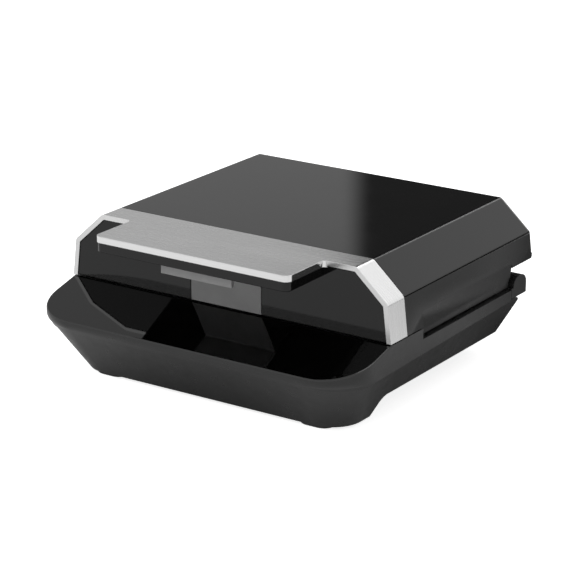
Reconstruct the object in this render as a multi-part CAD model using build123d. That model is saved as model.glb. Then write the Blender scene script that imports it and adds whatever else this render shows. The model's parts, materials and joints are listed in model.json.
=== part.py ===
from build123d import *
from math import cos, hypot, radians, tan
import os

# A two-slice breakfast sandwich maker: a base with a glossy ramp in front, a hinged lid with a
# brushed steel band that becomes the handle, and a sprung latch lever under the handle.
# Working axes: X across, Y back from the front edge of the lid, Z up from the lid's lower edge.
# place() then puts the origin at the middle of the footprint, at the soles of the feet.

# ------------------------------------------------------------------ driving sizes, millimetres
# Lid shell
BODY_WIDTH = 260.0          # across the lower edges of the lid, and across the base
LID_DEPTH = 194.8           # front edge of the steel band to the back of the lid
SIDE_HEIGHT = 26.5          # upright part of the lid's sides
SIDE_DRAFT = 3.1            # what a side leans in over its height
CHAMFER_HEIGHT = 21.3       # sloping part above it
CHAMFER_INSET = 23.6
LID_EDGE_RADIUS = 4.0
LEAST_RADIUS = 0.6          # inner corners don't get sharper than this
BACK_EDGE_RADIUS = 6.5      # round the lid's back, on the cover and on the frame below it
SKIRT_DROP = 6.5            # the side skirts hang this far below the lid's edge
SKIRT_LEAN = 1.9            # and lean in by this much
SKIRT_SHOULDER = 10.7       # height at which the lean starts
SKIRT_FRONT = 41.0
NOTCH_HEIGHT = 7.6          # lower edge of the lid above the hinge
REAR_STEP = 3.0             # inner step wall of the lid, ahead of the base's back
WALL = 2.6                  # moulded walls
CLEAR = 0.3                 # between pieces that don't touch
SEAM = 0.8                  # open line between lid and base
SIDE_GAP = 1.8              # open line under the skirts

# Steel band and handle
SHEET = 1.2
BAND_DEPTH = 20.3
BAND_FLANGE = 3.5           # turned-in front edge of the band
HANDLE_WIDTH = 156.0
HANDLE_REACH = 41.0         # in front of the lid
HANDLE_RIM = 4.5            # turned-down edge of the handle plate
HANDLE_CORNER = 5.0
HANDLE_INNER_RADIUS = 3.0
TRIM_DROP = 6.8             # black trim below the steel rim
TRIM_SETBACK = 0.6
TONGUE_WIDTH = 140.0        # the trim's tongue inside the lid
TONGUE_REACH = 12.0
TONGUE_HEIGHT = 5.4
TRIM_ROOF = 1.2             # trim left above the latch pocket, inside the steel
TRIM_EDGE_RADIUS = 1.0
TRIM_BACK_RADIUS = 0.5
PANEL_THICKNESS = 2.5
PANEL_SETBACK = 0.5

# Latch lever
LATCH_WIDTH = 57.0
LATCH_PLATE = 2.5
LATCH_TAB_REACH = 33.0      # the tab's lip in front of the lid
LATCH_TAB_TOP = 35.5
LATCH_TAB_THICKNESS = 3.0
LATCH_LIP = 7.0
LATCH_LIP_ROOM = 3.0        # free room of the lip in the trim's pocket
LATCH_SIDE_ROOM = 1.5
LATCH_TOP_ROOM = 1.6
LATCH_BEND = 0.9            # inner radius between plate and tab
PIVOT_BEHIND = 8.0          # latch pin behind the lid's front edge
PIVOT_HEIGHT = 24.0
LATCH_PIN = 3.0
LATCH_BOSS = 7.0
HOOK_WIDTH = 28.0
HOOK_LEG = 2.0
HOOK_TOOTH = 2.1
HOOK_TOOTH_HEIGHT = 3.3
HOOK_DROP = 7.6             # the hook's tip below the lid's edge
HOOK_ROOT = 13.0            # the hook's leg leaves the plate this far below the pin
HOOK_ROOT_TOP = 9.0
HOOK_ROOT_RISE = 2.0
LATCH_SWING_ROOM = 4.9      # free way of the hook's leg towards the front
EAR_THICKNESS = 6.0
SPRING_WIRE = 0.9
SPRING_TURNS = 4
SPRING_PITCH = 1.15

# Base
RAMP_ANGLE = 14.2
BACK_OVERHANG = 31.8        # the lid reaches this far behind the deck
DECK_SETBACK = 2.4          # the deck's upright front lies this far behind that slope's top
DECK_CORNER = 32.0
DECK_LOW_CORNER = 35.0      # front corner of the deck at its lower edge
DECK_BACK_CORNER = 4.0
DECK_OVER = 0.2             # the deck stands proud of the tub's front by this much
DECK_TURN = 2.6             # half the height over which its front turns from upright to sloping
DECK_EDGE_RADIUS = 1.2
CREASE_BACK = 16.0          # lower edge of the deck's band at the back, below the lid's edge
CREASE_SLOPE = 0.022
CREASE_FRONT = 22.3         # the same edge along the front, a step lower
CREASE_STEP_BACK = -18.0
CREASE_STEP_FRONT = -27.0
CREASE_LIP = 12.0           # inward rim of the deck that lies on the tub's rim
LEDGE_WIDTH = 8.5           # side ledge under the skirt
HULL_TOP = 13.5             # where the tub's slopes would meet the deck's sides
HULL_DEPTH = 56.7           # lid's edge to the tub's floor
HULL_SIDE_INSET = 21.0
HULL_FRONT_SETBACK = 29.0
HULL_TOP_REACH = 53.4       # where its front slope would lie at that height, ahead of the lid
HULL_TOP_CORNER = 32.0
HULL_FLOOR_CORNER = 21.7
HULL_FLOOR_BACK = 0.4       # the tub's floor ends this far ahead of the deck's back
HULL_BACK_SLOPE = 0.45      # how far its back wall leans out for each millimetre up
HULL_BACK_CORNER = 5.0
HULL_SPARE = 0.5            # the tapered block reaches this far past the back wall that cuts it
SHOULDER_RADIUS = 8.0       # round top of the back wall, under the hinge lugs
ARCH_FRONT = 8.6            # side recesses: start at the floor, lean of that wall, height and inner wall
ARCH_LEAN = 6.0
ARCH_TOP = 43.0
ARCH_HALF = 92.0
ARCH_RADIUS = 8.0
FOOT_LENGTH = 27.0
FOOT_WIDTH = 20.0
FOOT_RADIUS = 9.0
FOOT_STAND = 2.2
FOOT_SEAT = 1.2
FOOT_X = 84.0
FOOT_FRONT_GAP = 1.4

# Hinge
LUG_LENGTH = 18.2
LUG_HEIGHT = 14.4
LUG_TOP = 0.3
LUG_WIDTH = 18.0
LUG_RADIUS = 7.0
LUG_GAP = 0.5
KNUCKLE_WIDTH = 14.0
KNUCKLE_RADIUS = 6.6
KNUCKLE_SPREAD = 3.0        # its web widens by this much where it meets the lid
PIN_DIAMETER = 6.0
PIN_SEAT = 12.0             # how far the pin goes into the lug
PIN_HEAD = 9.0
PIN_HEAD_THICKNESS = 1.5
PIN_FIT = 0.03              # radial clearance of a pin in its seat
TURN_FIT = 0.08             # radial clearance of a piece that turns on a pin

# Cooking plates and heaters
PLATE_SIDE_MARGIN = 16.0    # body side to plate edge
PLATE_FRONT = 20.0
PLATE_BACK_MARGIN = 15.0
PLATE_CORNER = 6.0
PLATE_FLANGE = 2.5
PLATE_LIFT = 0.3            # the upper plate's face above the lid's edge, and the lower's below its deck
RIM_WIDTH = 8.0             # flat rim of a plate
RIDGE = 8.0                 # ridges that cut and seal the bread
POCKET_DEPTH = 12.0
POCKET_DRAFT = 20.0
POCKET_CORNER = 7.0
CAST_WALL = 2.5
LEDGE = 5.0                 # overlap of plate and frame
RING_WALL = 3.0
RING_DEPTH = 2.8
BOSS = 7.0
REFLECTOR_SHEET = 0.8
REFLECTOR_FLANGE = 4.0
HEATER = 6.5
HEATER_BEND = 14.0
HEATER_INSET = 22.0
HEATER_TAIL = 20.0
HEATER_TAIL_LENGTH = 7.0
CLIP_SHEET = 1.0
CLIP_WIDTH = 12.0
CLIP_FOOT = 7.0

# Screws
SCREW = 3.0
SCREW_HEAD = 6.0
SCREW_HEAD_HEIGHT = 2.0
SCREW_BITE = 8.0
SCREW_HOLE_EXTRA = 2.0
HANDLE_SCREW_BITE = 1.5     # how far the handle's screws reach past the trim's tongue
HANDLE_SCREW_X = 53.0
LID_SCREW_EDGE = 12.0       # lid screws to the edge of the lid's top
PLATE_SCREW_GAP = 14.0      # plate screws of the middle ridge to the heater's front and back runs
HEAD_TOP = 4.2              # flat top of a screw's head
HEAD_SHOULDER = 1.2         # height at which its edge starts to slope
RECESS_LENGTH = 3.6
RECESS_WIDTH = 0.8
RECESS_DEPTH = 1.0

# Electrical pieces
GLAND_BORE = 7.0
GLAND_BODY = 11.0
GLAND_FLANGE = 16.0
GLAND_COLLAR = 3.0
GLAND_RIM = 2.0
GLAND_SNAP = 1.2
GLAND_X = -24.0
GLAND_BELOW = 34.0
GLAND_SEAT_DEPTH = 2.5      # the gland's seat lies this far inside the floor-side edge of its well
GLAND_ROOM = 1.0
TERMINAL_SIZE = (34.0, 18.0, 13.0)
TERMINAL_X = -48.0
TERMINAL_AHEAD = 45.0       # ahead of the base's back
THERMOSTAT_DIAMETER = 16.0
THERMOSTAT_HEIGHT = 8.0
THERMOSTAT_X = 34.0
THERMOSTAT_BEHIND = 15.0    # behind the plate's middle
THERMOSTAT_EAR = 6.0
THERMOSTAT_TAB = 1.0
THERMOSTAT_BLADE = (0.8, 6.0, 8.0)
FUSE_DIAMETER = 4.0
FUSE_LENGTH = 14.0
FUSE_LEAD = 1.2
FUSE_INSET = 46.0           # in from the plate's side
FUSE_AHEAD = 15.0           # ahead of the plate's middle
WIRE = 2.2
WIRE_BEND = 5.0
WIRE_RUN = 10.0             # straight run of a wire before it turns
CORE_GAP = 1.4              # the two cores in the gland lie this far off its middle
TERMINAL_CELL = 3.6
TERMINAL_WELL = 4.4
TERMINAL_CELL_LEVEL = 5.85  # cells above the tub's floor
TERMINAL_CORNER = 1.5

# ------------------------------------------------------------------ places that follow from them
HALF = BODY_WIDTH / 2
LID_HEIGHT = SIDE_HEIGHT + CHAMFER_HEIGHT
TOP_HALF = HALF - SIDE_DRAFT - CHAMFER_INSET
BASE_BACK = LID_DEPTH - BACK_OVERHANG
RAMP_REACH = HULL_TOP_REACH - DECK_SETBACK
HULL_BACK = BASE_BACK - HULL_FLOOR_BACK
GLAND_LOW = GLAND_BELOW + GLAND_FLANGE / 2 + GLAND_ROOM
GLAND_SEAT = HULL_BACK + HULL_BACK_SLOPE * (HULL_DEPTH - GLAND_LOW) - GLAND_SEAT_DEPTH
FLOOR_TOP = -HULL_DEPTH + WALL
PIVOT_Y = BASE_BACK + LUG_LENGTH / 2
PIVOT_Z = -LUG_TOP - LUG_HEIGHT / 2
NOTCH_FRONT = BASE_BACK - 4 * CLEAR
STEP_BACK = BASE_BACK - REAR_STEP
CARRIER_INSET = SHEET + CLEAR
PANEL_FRONT = PANEL_SETBACK + SHEET
PANEL_BACK = PANEL_FRONT + PANEL_THICKNESS
LATCH_FRONT = PANEL_SETBACK
SPRING_LENGTH = (SPRING_TURNS + 0.75) * SPRING_PITCH
TRIM_TOP = LID_HEIGHT - HANDLE_RIM
TRIM_BOTTOM = TRIM_TOP - TRIM_DROP
PLATE_WIDTH = BODY_WIDTH - 2 * PLATE_SIDE_MARGIN
PLATE_BACK = BASE_BACK - PLATE_BACK_MARGIN
PLATE_LENGTH = PLATE_BACK - PLATE_FRONT
PLATE_MIDDLE = (PLATE_BACK + PLATE_FRONT) / 2
HEATER_FRONT = PLATE_FRONT + HEATER_INSET
HEATER_BACK = PLATE_BACK - HEATER_INSET
UPPER_FACE = PLATE_LIFT
LOWER_FACE = -SEAM - PLATE_LIFT
POCKET_BACK = POCKET_DEPTH + CAST_WALL
HEATER_HEIGHT = POCKET_BACK + CLEAR + HEATER / 2
PLATE_BOSS_HEIGHT = HEATER_HEIGHT + HEATER / 2 + CLEAR + CLIP_SHEET + CLEAR
LUG_INNER = HALF - LUG_WIDTH
KNUCKLE_OUTER = LUG_INNER - LUG_GAP
KNUCKLE_INNER = KNUCKLE_OUTER - KNUCKLE_WIDTH
PIN_START = KNUCKLE_INNER - LUG_GAP
FOOT_FRONT_Y = -HULL_TOP_REACH + HULL_FRONT_SETBACK + FOOT_FRONT_GAP + FOOT_WIDTH / 2
FOOT_BACK_Y = HULL_BACK - WALL - FOOT_WIDTH / 2
FOOT_BACK_X = ARCH_HALF - WALL - FOOT_LENGTH / 2
BASE_SCREWS = [(x, y) for x in (-FOOT_X + FOOT_LENGTH, FOOT_X - FOOT_LENGTH)
               for y in (FOOT_FRONT_Y, HULL_BACK - WALL - CLEAR - BOSS / 2)]
LID_SCREWS = [(x, y) for x in (-TOP_HALF + LID_SCREW_EDGE, TOP_HALF - LID_SCREW_EDGE)
              for y in (PANEL_BACK + BOSS, STEP_BACK - WALL - CLEAR - BOSS / 2)]
HANDLE_SCREWS = [(x, PANEL_BACK + BOSS / 2) for x in (-HANDLE_SCREW_X, HANDLE_SCREW_X)]
SLOT = (PLATE_WIDTH - 2 * RIM_WIDTH - RIDGE) / 2
TERMINAL_AT = (TERMINAL_X, BASE_BACK - TERMINAL_AHEAD)
THERMOSTAT_AT = (THERMOSTAT_X, PLATE_MIDDLE + THERMOSTAT_BEHIND)
FUSE_AT = (PLATE_WIDTH / 2 - FUSE_INSET, PLATE_MIDDLE - FUSE_AHEAD)
PLATE_SCREWS = [(0.0, HEATER_FRONT + PLATE_SCREW_GAP), (0.0, HEATER_BACK - PLATE_SCREW_GAP),
                (-(SLOT + RIDGE) / 2, PLATE_MIDDLE), ((SLOT + RIDGE) / 2, PLATE_MIDDLE)]
PAN_UNDER = LOWER_FACE - PLATE_BOSS_HEIGHT - REFLECTOR_SHEET
TERMINAL_CELL_Z = FLOOR_TOP + TERMINAL_CELL_LEVEL
LID_PAD_TOP = UPPER_FACE + PLATE_FLANGE + RING_DEPTH + CLEAR
TUB_PAD_TOP = FLOOR_TOP + WALL
SCREW_SEAT = -HULL_DEPTH + SCREW_HEAD_HEIGHT + CLEAR
ORIGIN = (0.0, (LID_DEPTH - RAMP_REACH) / 2, -HULL_DEPTH - FOOT_STAND)


# ------------------------------------------------------------------ helpers
def along_x(sketch, x0, x1):
    """Extrude a sketch drawn as (Y, Z) from x0 to x1."""
    return Pos(x0, 0, 0) * extrude(Plane.YZ * sketch, x1 - x0, dir=(1, 0, 0))


def along_y(sketch, y0, y1):
    """Extrude a sketch drawn as (X, Z) from y0 to y1."""
    return Pos(0, y0, 0) * extrude(Plane.XZ * sketch, y1 - y0, dir=(0, 1, 0))


def along_z(sketch, z0, z1):
    """Extrude a sketch drawn as (X, Y) from z0 to z1."""
    return Pos(0, 0, z0) * extrude(sketch, z1 - z0, dir=(0, 0, 1))


def outline(*points):
    """Closed face through the points, kept where it is drawn."""
    return Polygon(*points, align=None)


def rounded(x0, x1, y0, y1, front_radius, back_radius=None):
    """Rectangle with one radius on its front corners and one on its back corners."""
    face = outline((x0, y0), (x1, y0), (x1, y1), (x0, y1))
    face = fillet([v for v in face.vertices() if v.Y < (y0 + y1) / 2], front_radius)
    back = back_radius or front_radius
    return fillet([v for v in face.vertices() if v.Y > y1 - 0.01], back)


def slab(x0, x1, y0, y1, z0, z1):
    """Block between two corners, for cuts and ribs."""
    return along_z(outline((x0, y0), (x1, y0), (x1, y1), (x0, y1)), z0, z1)


def rod(x, y, z0, z1, diameter):
    """Upright cylinder between two heights."""
    return Pos(x, y, z0) * extrude(Circle(diameter / 2), z1 - z0)


def rod_x(y, z, x0, x1, diameter):
    """Cylinder along X."""
    return along_x(Pos(y, z) * Circle(diameter / 2), x0, x1)


def both_sides(shape):
    """The shape and its mirror image about the middle plane."""
    return shape + mirror(shape, Plane.YZ)


def side_x(z):
    """Half-width of the lid's leaning side at height z."""
    return HALF - SIDE_DRAFT * z / SIDE_HEIGHT


def lid_section(inset=0.0, low=0.0):
    """Cross-section of the lid, pulled in by inset, with its lower edge at low."""
    bottom = low - inset
    right = [(side_x(bottom), bottom), (side_x(SIDE_HEIGHT), SIDE_HEIGHT), (TOP_HALF, LID_HEIGHT)]
    face = outline(*right, *[(-x, z) for x, z in reversed(right)])
    if inset:
        face = offset(face, -inset, kind=Kind.INTERSECTION)
    corners = [v for v in face.vertices() if v.Y > low + 1]
    return fillet(corners, max(LID_EDGE_RADIUS - inset, LEAST_RADIUS))


def crease(y):
    """Height of the deck's lower edge along the sides."""
    return -CREASE_BACK - CREASE_SLOPE * (BASE_BACK - y)


def above_crease(lift=0.0):
    """Everything above the deck's lower edge, which steps down round the front corners."""
    edge = [(-BODY_WIDTH, -CREASE_FRONT), (CREASE_STEP_FRONT, -CREASE_FRONT),
            (CREASE_STEP_BACK, crease(CREASE_STEP_BACK)), (BODY_WIDTH, crease(BODY_WIDTH))]
    face = outline(*[(y, z + lift) for y, z in edge], (BODY_WIDTH, BODY_WIDTH), (-BODY_WIDTH, BODY_WIDTH))
    return along_x(face, -BODY_WIDTH, BODY_WIDTH)


def ramp(y, depth=0.0):
    """Height of the ramp, or of a face that lies depth below it."""
    return -SEAM + y * tan(radians(RAMP_ANGLE)) - depth / cos(radians(RAMP_ANGLE))


# ------------------------------------------------------------------ lid
def steel_band():
    """Folded band over the lid's front, one piece with the handle's top plate."""
    reach, half = -HANDLE_REACH, HANDLE_WIDTH / 2
    root = TOP_HALF - LID_EDGE_RADIUS
    tee = outline((-half, reach), (half, reach), (half, 0), (root, 0), (root, 2 * SHEET),
                  (-root, 2 * SHEET), (-root, 0), (-half, 0))
    tee = fillet([v for v in tee.vertices() if v.Y < reach + 1], HANDLE_CORNER)
    inner = [v for v in tee.vertices() if abs(v.Y) < 0.01 and abs(abs(v.X) - half) < 0.01]
    tee = fillet(inner, HANDLE_INNER_RADIUS)
    band = along_y(lid_section(), 0, BAND_DEPTH) + along_z(tee, TRIM_TOP, LID_HEIGHT)
    band -= along_y(lid_section(SHEET, -1), SHEET, BAND_DEPTH + 1)
    band -= along_y(lid_section(BAND_FLANGE, -1), 0, SHEET)
    band -= along_z(offset(tee, -SHEET), TRIM_TOP, LID_HEIGHT - SHEET)
    return band


def handle_trim():
    """Plastic underside of the handle, with a pocket for the latch tab and a tongue into the lid."""
    half = HANDLE_WIDTH / 2
    setback = TRIM_SETBACK
    outer = rounded(-half + setback, half - setback, -HANDLE_REACH + setback, PANEL_SETBACK,
                    HANDLE_CORNER - setback, TRIM_BACK_RADIUS)
    plug_edge = SHEET + CLEAR
    plug = rounded(-half + plug_edge, half - plug_edge, -HANDLE_REACH + plug_edge, PANEL_SETBACK,
                   HANDLE_CORNER - plug_edge, TRIM_BACK_RADIUS)
    body = along_z(outer, TRIM_BOTTOM, TRIM_TOP) + along_z(plug, TRIM_TOP, LID_HEIGHT - SHEET)
    body = fillet(body.faces().sort_by(Axis.Z)[0].edges(), TRIM_EDGE_RADIUS)
    tongue = TONGUE_WIDTH / 2
    body += slab(-tongue, tongue, PANEL_SETBACK - 1, PANEL_BACK + TONGUE_REACH,
                 TRIM_TOP - TONGUE_HEIGHT, TRIM_TOP)
    pocket = LATCH_WIDTH / 2 + LATCH_SIDE_ROOM
    body -= slab(-pocket, pocket, -LATCH_TAB_REACH - LATCH_LIP_ROOM, PANEL_BACK + TONGUE_REACH + 1,
                 TRIM_BOTTOM - 1, TRIM_TOP - TRIM_ROOF)
    for x, y in HANDLE_SCREWS:
        body -= rod(x, y, TRIM_BOTTOM, TRIM_TOP + 1, SCREW + 2 * CLEAR)
    return body


def front_panel():
    """Glossy panel inside the band, with the latch's window and the ears of the latch pin."""
    panel = along_y(lid_section(CARRIER_INSET, CLEAR * 2), PANEL_FRONT, PANEL_BACK)
    panel += along_y(lid_section(BAND_FLANGE + CLEAR, CLEAR * 2), PANEL_SETBACK, PANEL_FRONT)
    window = LATCH_WIDTH / 2 + 2 * CLEAR
    panel -= slab(-window, window, -1, PANEL_BACK + 1, -1, LATCH_TAB_TOP + LATCH_TOP_ROOM)
    tongue = TONGUE_WIDTH / 2 + CLEAR
    panel -= slab(-tongue, tongue, -1, PANEL_BACK + 1, TRIM_TOP - TONGUE_HEIGHT - CLEAR, LID_HEIGHT)
    ear_x = window + CLEAR
    reach = PIVOT_BEHIND + LATCH_BOSS / 2
    ear = outline((PANEL_BACK - 1, PIVOT_HEIGHT - LATCH_BOSS), (PIVOT_BEHIND, PIVOT_HEIGHT - LATCH_BOSS),
                  (reach, PIVOT_HEIGHT - LATCH_BOSS / 2), (reach, PIVOT_HEIGHT + LATCH_BOSS / 2),
                  (PANEL_BACK - 1, PIVOT_HEIGHT + LATCH_BOSS))
    panel += both_sides(along_x(ear, ear_x, ear_x + EAR_THICKNESS))
    panel -= rod_x(PIVOT_BEHIND, PIVOT_HEIGHT, -HALF, HALF, LATCH_PIN + 2 * PIN_FIT)
    return panel


def round_back(block, radius):
    """Round the edges of a lid block's back face, apart from the lowest one."""
    back = block.faces().sort_by(Axis.Y)[-1]
    lowest = back.edges().sort_by(Axis.Z)[0].center().Z
    return fillet([e for e in back.edges() if e.center().Z > lowest + 0.1], radius)


def lid_cover():
    """Glossy top of the lid with its chamfers, and the joggled lip under the steel band."""
    front = BAND_DEPTH + CLEAR
    shell = round_back(along_y(lid_section(low=SIDE_HEIGHT), front, LID_DEPTH), BACK_EDGE_RADIUS)
    hollow = along_y(lid_section(WALL, SIDE_HEIGHT - 1), front - 1, LID_DEPTH - WALL)
    shell -= round_back(hollow, BACK_EDGE_RADIUS - WALL)
    lip = along_y(lid_section(CARRIER_INSET, SIDE_HEIGHT), PANEL_BACK + CLEAR, front + WALL)
    lip -= along_y(lid_section(CARRIER_INSET + WALL, SIDE_HEIGHT - 1), PANEL_BACK, front + WALL + 1)
    shell += lip
    for x, y in LID_SCREWS:
        top = LID_HEIGHT - WALL - (CARRIER_INSET if y < front else 0)
        shell += rod(x, y, LID_PAD_TOP, top + 0.5, BOSS)
        shell -= rod(x, y, LID_PAD_TOP - 1, LID_PAD_TOP + SCREW_BITE + SCREW_HOLE_EXTRA, SCREW + 2 * PIN_FIT)
    for x, y in HANDLE_SCREWS:
        shell -= rod(x, y, TRIM_TOP - 1, LID_HEIGHT - CARRIER_INSET - 0.5, SCREW + 2 * PIN_FIT)
    return shell


def hinge_knuckle():
    """Barrel and web that carry the lid on one hinge pin."""
    web = KNUCKLE_RADIUS
    side = Pos(PIVOT_Y, PIVOT_Z) * Circle(KNUCKLE_RADIUS)
    top = NOTCH_HEIGHT + WALL
    side += outline((PIVOT_Y - web, PIVOT_Z), (PIVOT_Y + web, PIVOT_Z),
                    (PIVOT_Y + web + KNUCKLE_SPREAD, top), (PIVOT_Y - web, top))
    return along_x(side, KNUCKLE_INNER, KNUCKLE_OUTER)


def lid_frame():
    """Lower housing of the lid: side walls, skirts, plate ring, back step and hinge knuckles."""
    front = BAND_DEPTH + CLEAR
    carrier = PANEL_BACK + CLEAR
    top = SIDE_HEIGHT - CLEAR
    cap = slab(-HALF, HALF, 0, LID_DEPTH, -SKIRT_DROP, top)
    outer = round_back(along_y(lid_section(), front, LID_DEPTH), BACK_EDGE_RADIUS)
    outer += along_y(lid_section(CARRIER_INSET), carrier, front)
    inner = along_y(lid_section(WALL, WALL), front + WALL, LID_DEPTH - WALL)
    inner = round_back(inner, BACK_EDGE_RADIUS - WALL)
    inner += along_y(lid_section(CARRIER_INSET + WALL, WALL), carrier - 1, front + WALL)
    frame = (outer - inner) & cap

    # the skirts: a leaning face cut into the side, and a strip below the edge
    low_x = side_x(SKIRT_SHOULDER) - SKIRT_LEAN
    shoulder_x = side_x(SKIRT_SHOULDER)
    strip = outline((low_x - WALL, -SKIRT_DROP), (low_x, -SKIRT_DROP), (shoulder_x, SKIRT_SHOULDER),
                    (shoulder_x - WALL, SKIRT_SHOULDER), (low_x - WALL, WALL))
    outside = outline((low_x, -SKIRT_DROP), (HALF + 1, -SKIRT_DROP), (HALF + 1, SKIRT_SHOULDER),
                      (shoulder_x, SKIRT_SHOULDER))
    frame -= both_sides(along_y(outside, SKIRT_FRONT, NOTCH_FRONT))
    frame += both_sides(along_y(strip, SKIRT_FRONT, NOTCH_FRONT))

    # the back rises over the hinge, with a step wall and a floor of its own
    frame -= slab(-HALF, HALF, NOTCH_FRONT, LID_DEPTH + 1, -SKIRT_DROP, NOTCH_HEIGHT)
    step_x = side_x(0) - WALL
    frame -= slab(-step_x, step_x, STEP_BACK, LID_DEPTH + 1, -SKIRT_DROP, NOTCH_HEIGHT)
    frame += slab(-step_x, step_x, STEP_BACK - WALL, STEP_BACK, WALL / 2, NOTCH_HEIGHT + WALL)
    frame += slab(-step_x, step_x, STEP_BACK - WALL, LID_DEPTH - WALL / 2, NOTCH_HEIGHT, NOTCH_HEIGHT + WALL)
    frame += both_sides(hinge_knuckle())
    frame -= both_sides(rod_x(PIVOT_Y, PIVOT_Z, PIN_START, LUG_INNER, PIN_DIAMETER + 2 * TURN_FIT))

    # ring that holds the upper plate
    frame += along_z(plate_outline(RING_WALL), 0, UPPER_FACE + PLATE_FLANGE + RING_DEPTH)
    frame -= along_z(plate_outline(CLEAR), -1, UPPER_FACE + PLATE_FLANGE)
    frame -= along_z(plate_outline(-LEDGE), 0, SIDE_HEIGHT)

    # room for the latch, and screw pads
    room = LATCH_WIDTH / 2 + 4 * CLEAR
    frame -= slab(-room, room, 0, PLATE_FRONT - RING_WALL - 1, -1, SIDE_HEIGHT)
    for x, y in LID_SCREWS:
        frame += rod(x, y, WALL / 2, LID_PAD_TOP, BOSS)
        frame -= rod(x, y, -1, LID_PAD_TOP + 1, SCREW + 2 * CLEAR)
        frame -= rod(x, y, -1, SCREW_HEAD_HEIGHT + CLEAR, SCREW_HEAD + 2 * CLEAR)
    return frame


# ------------------------------------------------------------------ latch
def latch_lever():
    """L-shaped lever: plate in the window, finger tab under the handle, hook behind the plate."""
    back = LATCH_FRONT + LATCH_PLATE
    tab_low = LATCH_TAB_TOP - LATCH_TAB_THICKNESS
    side = outline((LATCH_FRONT, 2 * CLEAR), (back, 2 * CLEAR), (back, LATCH_TAB_TOP),
                   (-LATCH_TAB_REACH, LATCH_TAB_TOP), (-LATCH_TAB_REACH, LATCH_TAB_TOP - LATCH_LIP),
                   (-LATCH_TAB_REACH + LATCH_PLATE, LATCH_TAB_TOP - LATCH_LIP),
                   (-LATCH_TAB_REACH + LATCH_PLATE, tab_low), (LATCH_FRONT, tab_low))
    corner = [v for v in side.vertices() if v.Y > tab_low - 0.1 and v.X < LATCH_FRONT + 0.1]
    side = fillet(corner, LATCH_BEND)
    half = LATCH_WIDTH / 2
    lever = along_x(side, -half, half)
    boss = Pos(PIVOT_BEHIND, PIVOT_HEIGHT) * Circle(LATCH_BOSS / 2)
    boss += outline((back - 1, PIVOT_HEIGHT - LATCH_BOSS / 2), (PIVOT_BEHIND, PIVOT_HEIGHT - LATCH_BOSS / 2),
                    (PIVOT_BEHIND, PIVOT_HEIGHT + LATCH_BOSS / 2), (back - 1, PIVOT_HEIGHT + LATCH_BOSS / 2))
    lever += both_sides(along_x(boss, SPRING_LENGTH / 2 + 2 * SPRING_WIRE, half - 1))
    leg_front = PIVOT_BEHIND + CLEAR
    leg_back = leg_front + HOOK_LEG
    root = PIVOT_HEIGHT - HOOK_ROOT
    hook = outline((back - HOOK_LEG / 2, root + HOOK_ROOT_RISE), (leg_front, root), (leg_front, -HOOK_DROP),
                   (leg_back, -HOOK_DROP), (leg_back + HOOK_TOOTH, -HOOK_DROP + HOOK_TOOTH),
                   (leg_back + HOOK_TOOTH, -HOOK_DROP + HOOK_TOOTH_HEIGHT),
                   (leg_back, -HOOK_DROP + HOOK_TOOTH_HEIGHT), (leg_back, PIVOT_HEIGHT - HOOK_ROOT_TOP),
                   (back - HOOK_LEG / 2, PIVOT_HEIGHT - HOOK_ROOT_TOP + HOOK_ROOT_RISE))
    lever += along_x(hook, -HOOK_WIDTH / 2, HOOK_WIDTH / 2)
    return lever - rod_x(PIVOT_BEHIND, PIVOT_HEIGHT, -half, half, LATCH_PIN + 2 * TURN_FIT)


def latch_pin():
    """Steel pin through the lever and both ears."""
    end = LATCH_WIDTH / 2 + 3 * CLEAR + EAR_THICKNESS + 1
    return rod_x(PIVOT_BEHIND, PIVOT_HEIGHT, -end, end, LATCH_PIN)


def latch_spring():
    """Torsion spring round the middle of the pin: one leg on the lever's plate, one up to the trim."""
    radius = LATCH_PIN / 2 + CLEAR + SPRING_WIRE / 2
    section = RegularPolygon(SPRING_WIRE / 2, 8)
    coil = Helix(SPRING_PITCH, SPRING_LENGTH, radius)
    spring = sweep(Plane(coil @ 0, z_dir=coil % 0) * section, path=coil)
    plate_leg = PIVOT_BEHIND - LATCH_FRONT - LATCH_PLATE - CLEAR
    trim_leg = TRIM_TOP - TRIM_ROOF - CLEAR - PIVOT_HEIGHT
    spring += Plane(coil @ 0, z_dir=(0, -1, 0)) * extrude(section, plate_leg)
    spring += Plane(coil @ 1, z_dir=(1, 0, 0)) * extrude(section, trim_leg)
    return Pos(SPRING_LENGTH / 2, PIVOT_BEHIND, PIVOT_HEIGHT) * Rot(0, -90, 0) * spring


# ------------------------------------------------------------------ cooking plates and heaters
def plate_outline(grow):
    """Plan of the cooking plate, grown or shrunk by grow."""
    return rounded(-PLATE_WIDTH / 2 - grow, PLATE_WIDTH / 2 + grow, PLATE_FRONT - grow, PLATE_BACK + grow,
                   max(PLATE_CORNER + grow, 1.0))


def pocket_outlines():
    """Two triangles of the right-hand slot, which a ridge cuts corner to corner."""
    depth = PLATE_LENGTH - 2 * RIM_WIDTH
    y0, y1 = PLATE_FRONT + RIM_WIDTH, PLATE_BACK - RIM_WIDTH
    diagonal = hypot(SLOT, depth)
    cut_x = RIDGE / 2 * diagonal / depth
    cut_y = RIDGE / 2 * diagonal / SLOT
    x0, x1 = RIDGE / 2, RIDGE / 2 + SLOT
    triangles = [outline((x0, y0 + cut_y), (x1 - cut_x, y1), (x0, y1)),
                 outline((x0 + cut_x, y0), (x1, y0), (x1, y1 - cut_y))]
    return [fillet(face.vertices(), POCKET_CORNER) for face in triangles]


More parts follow.
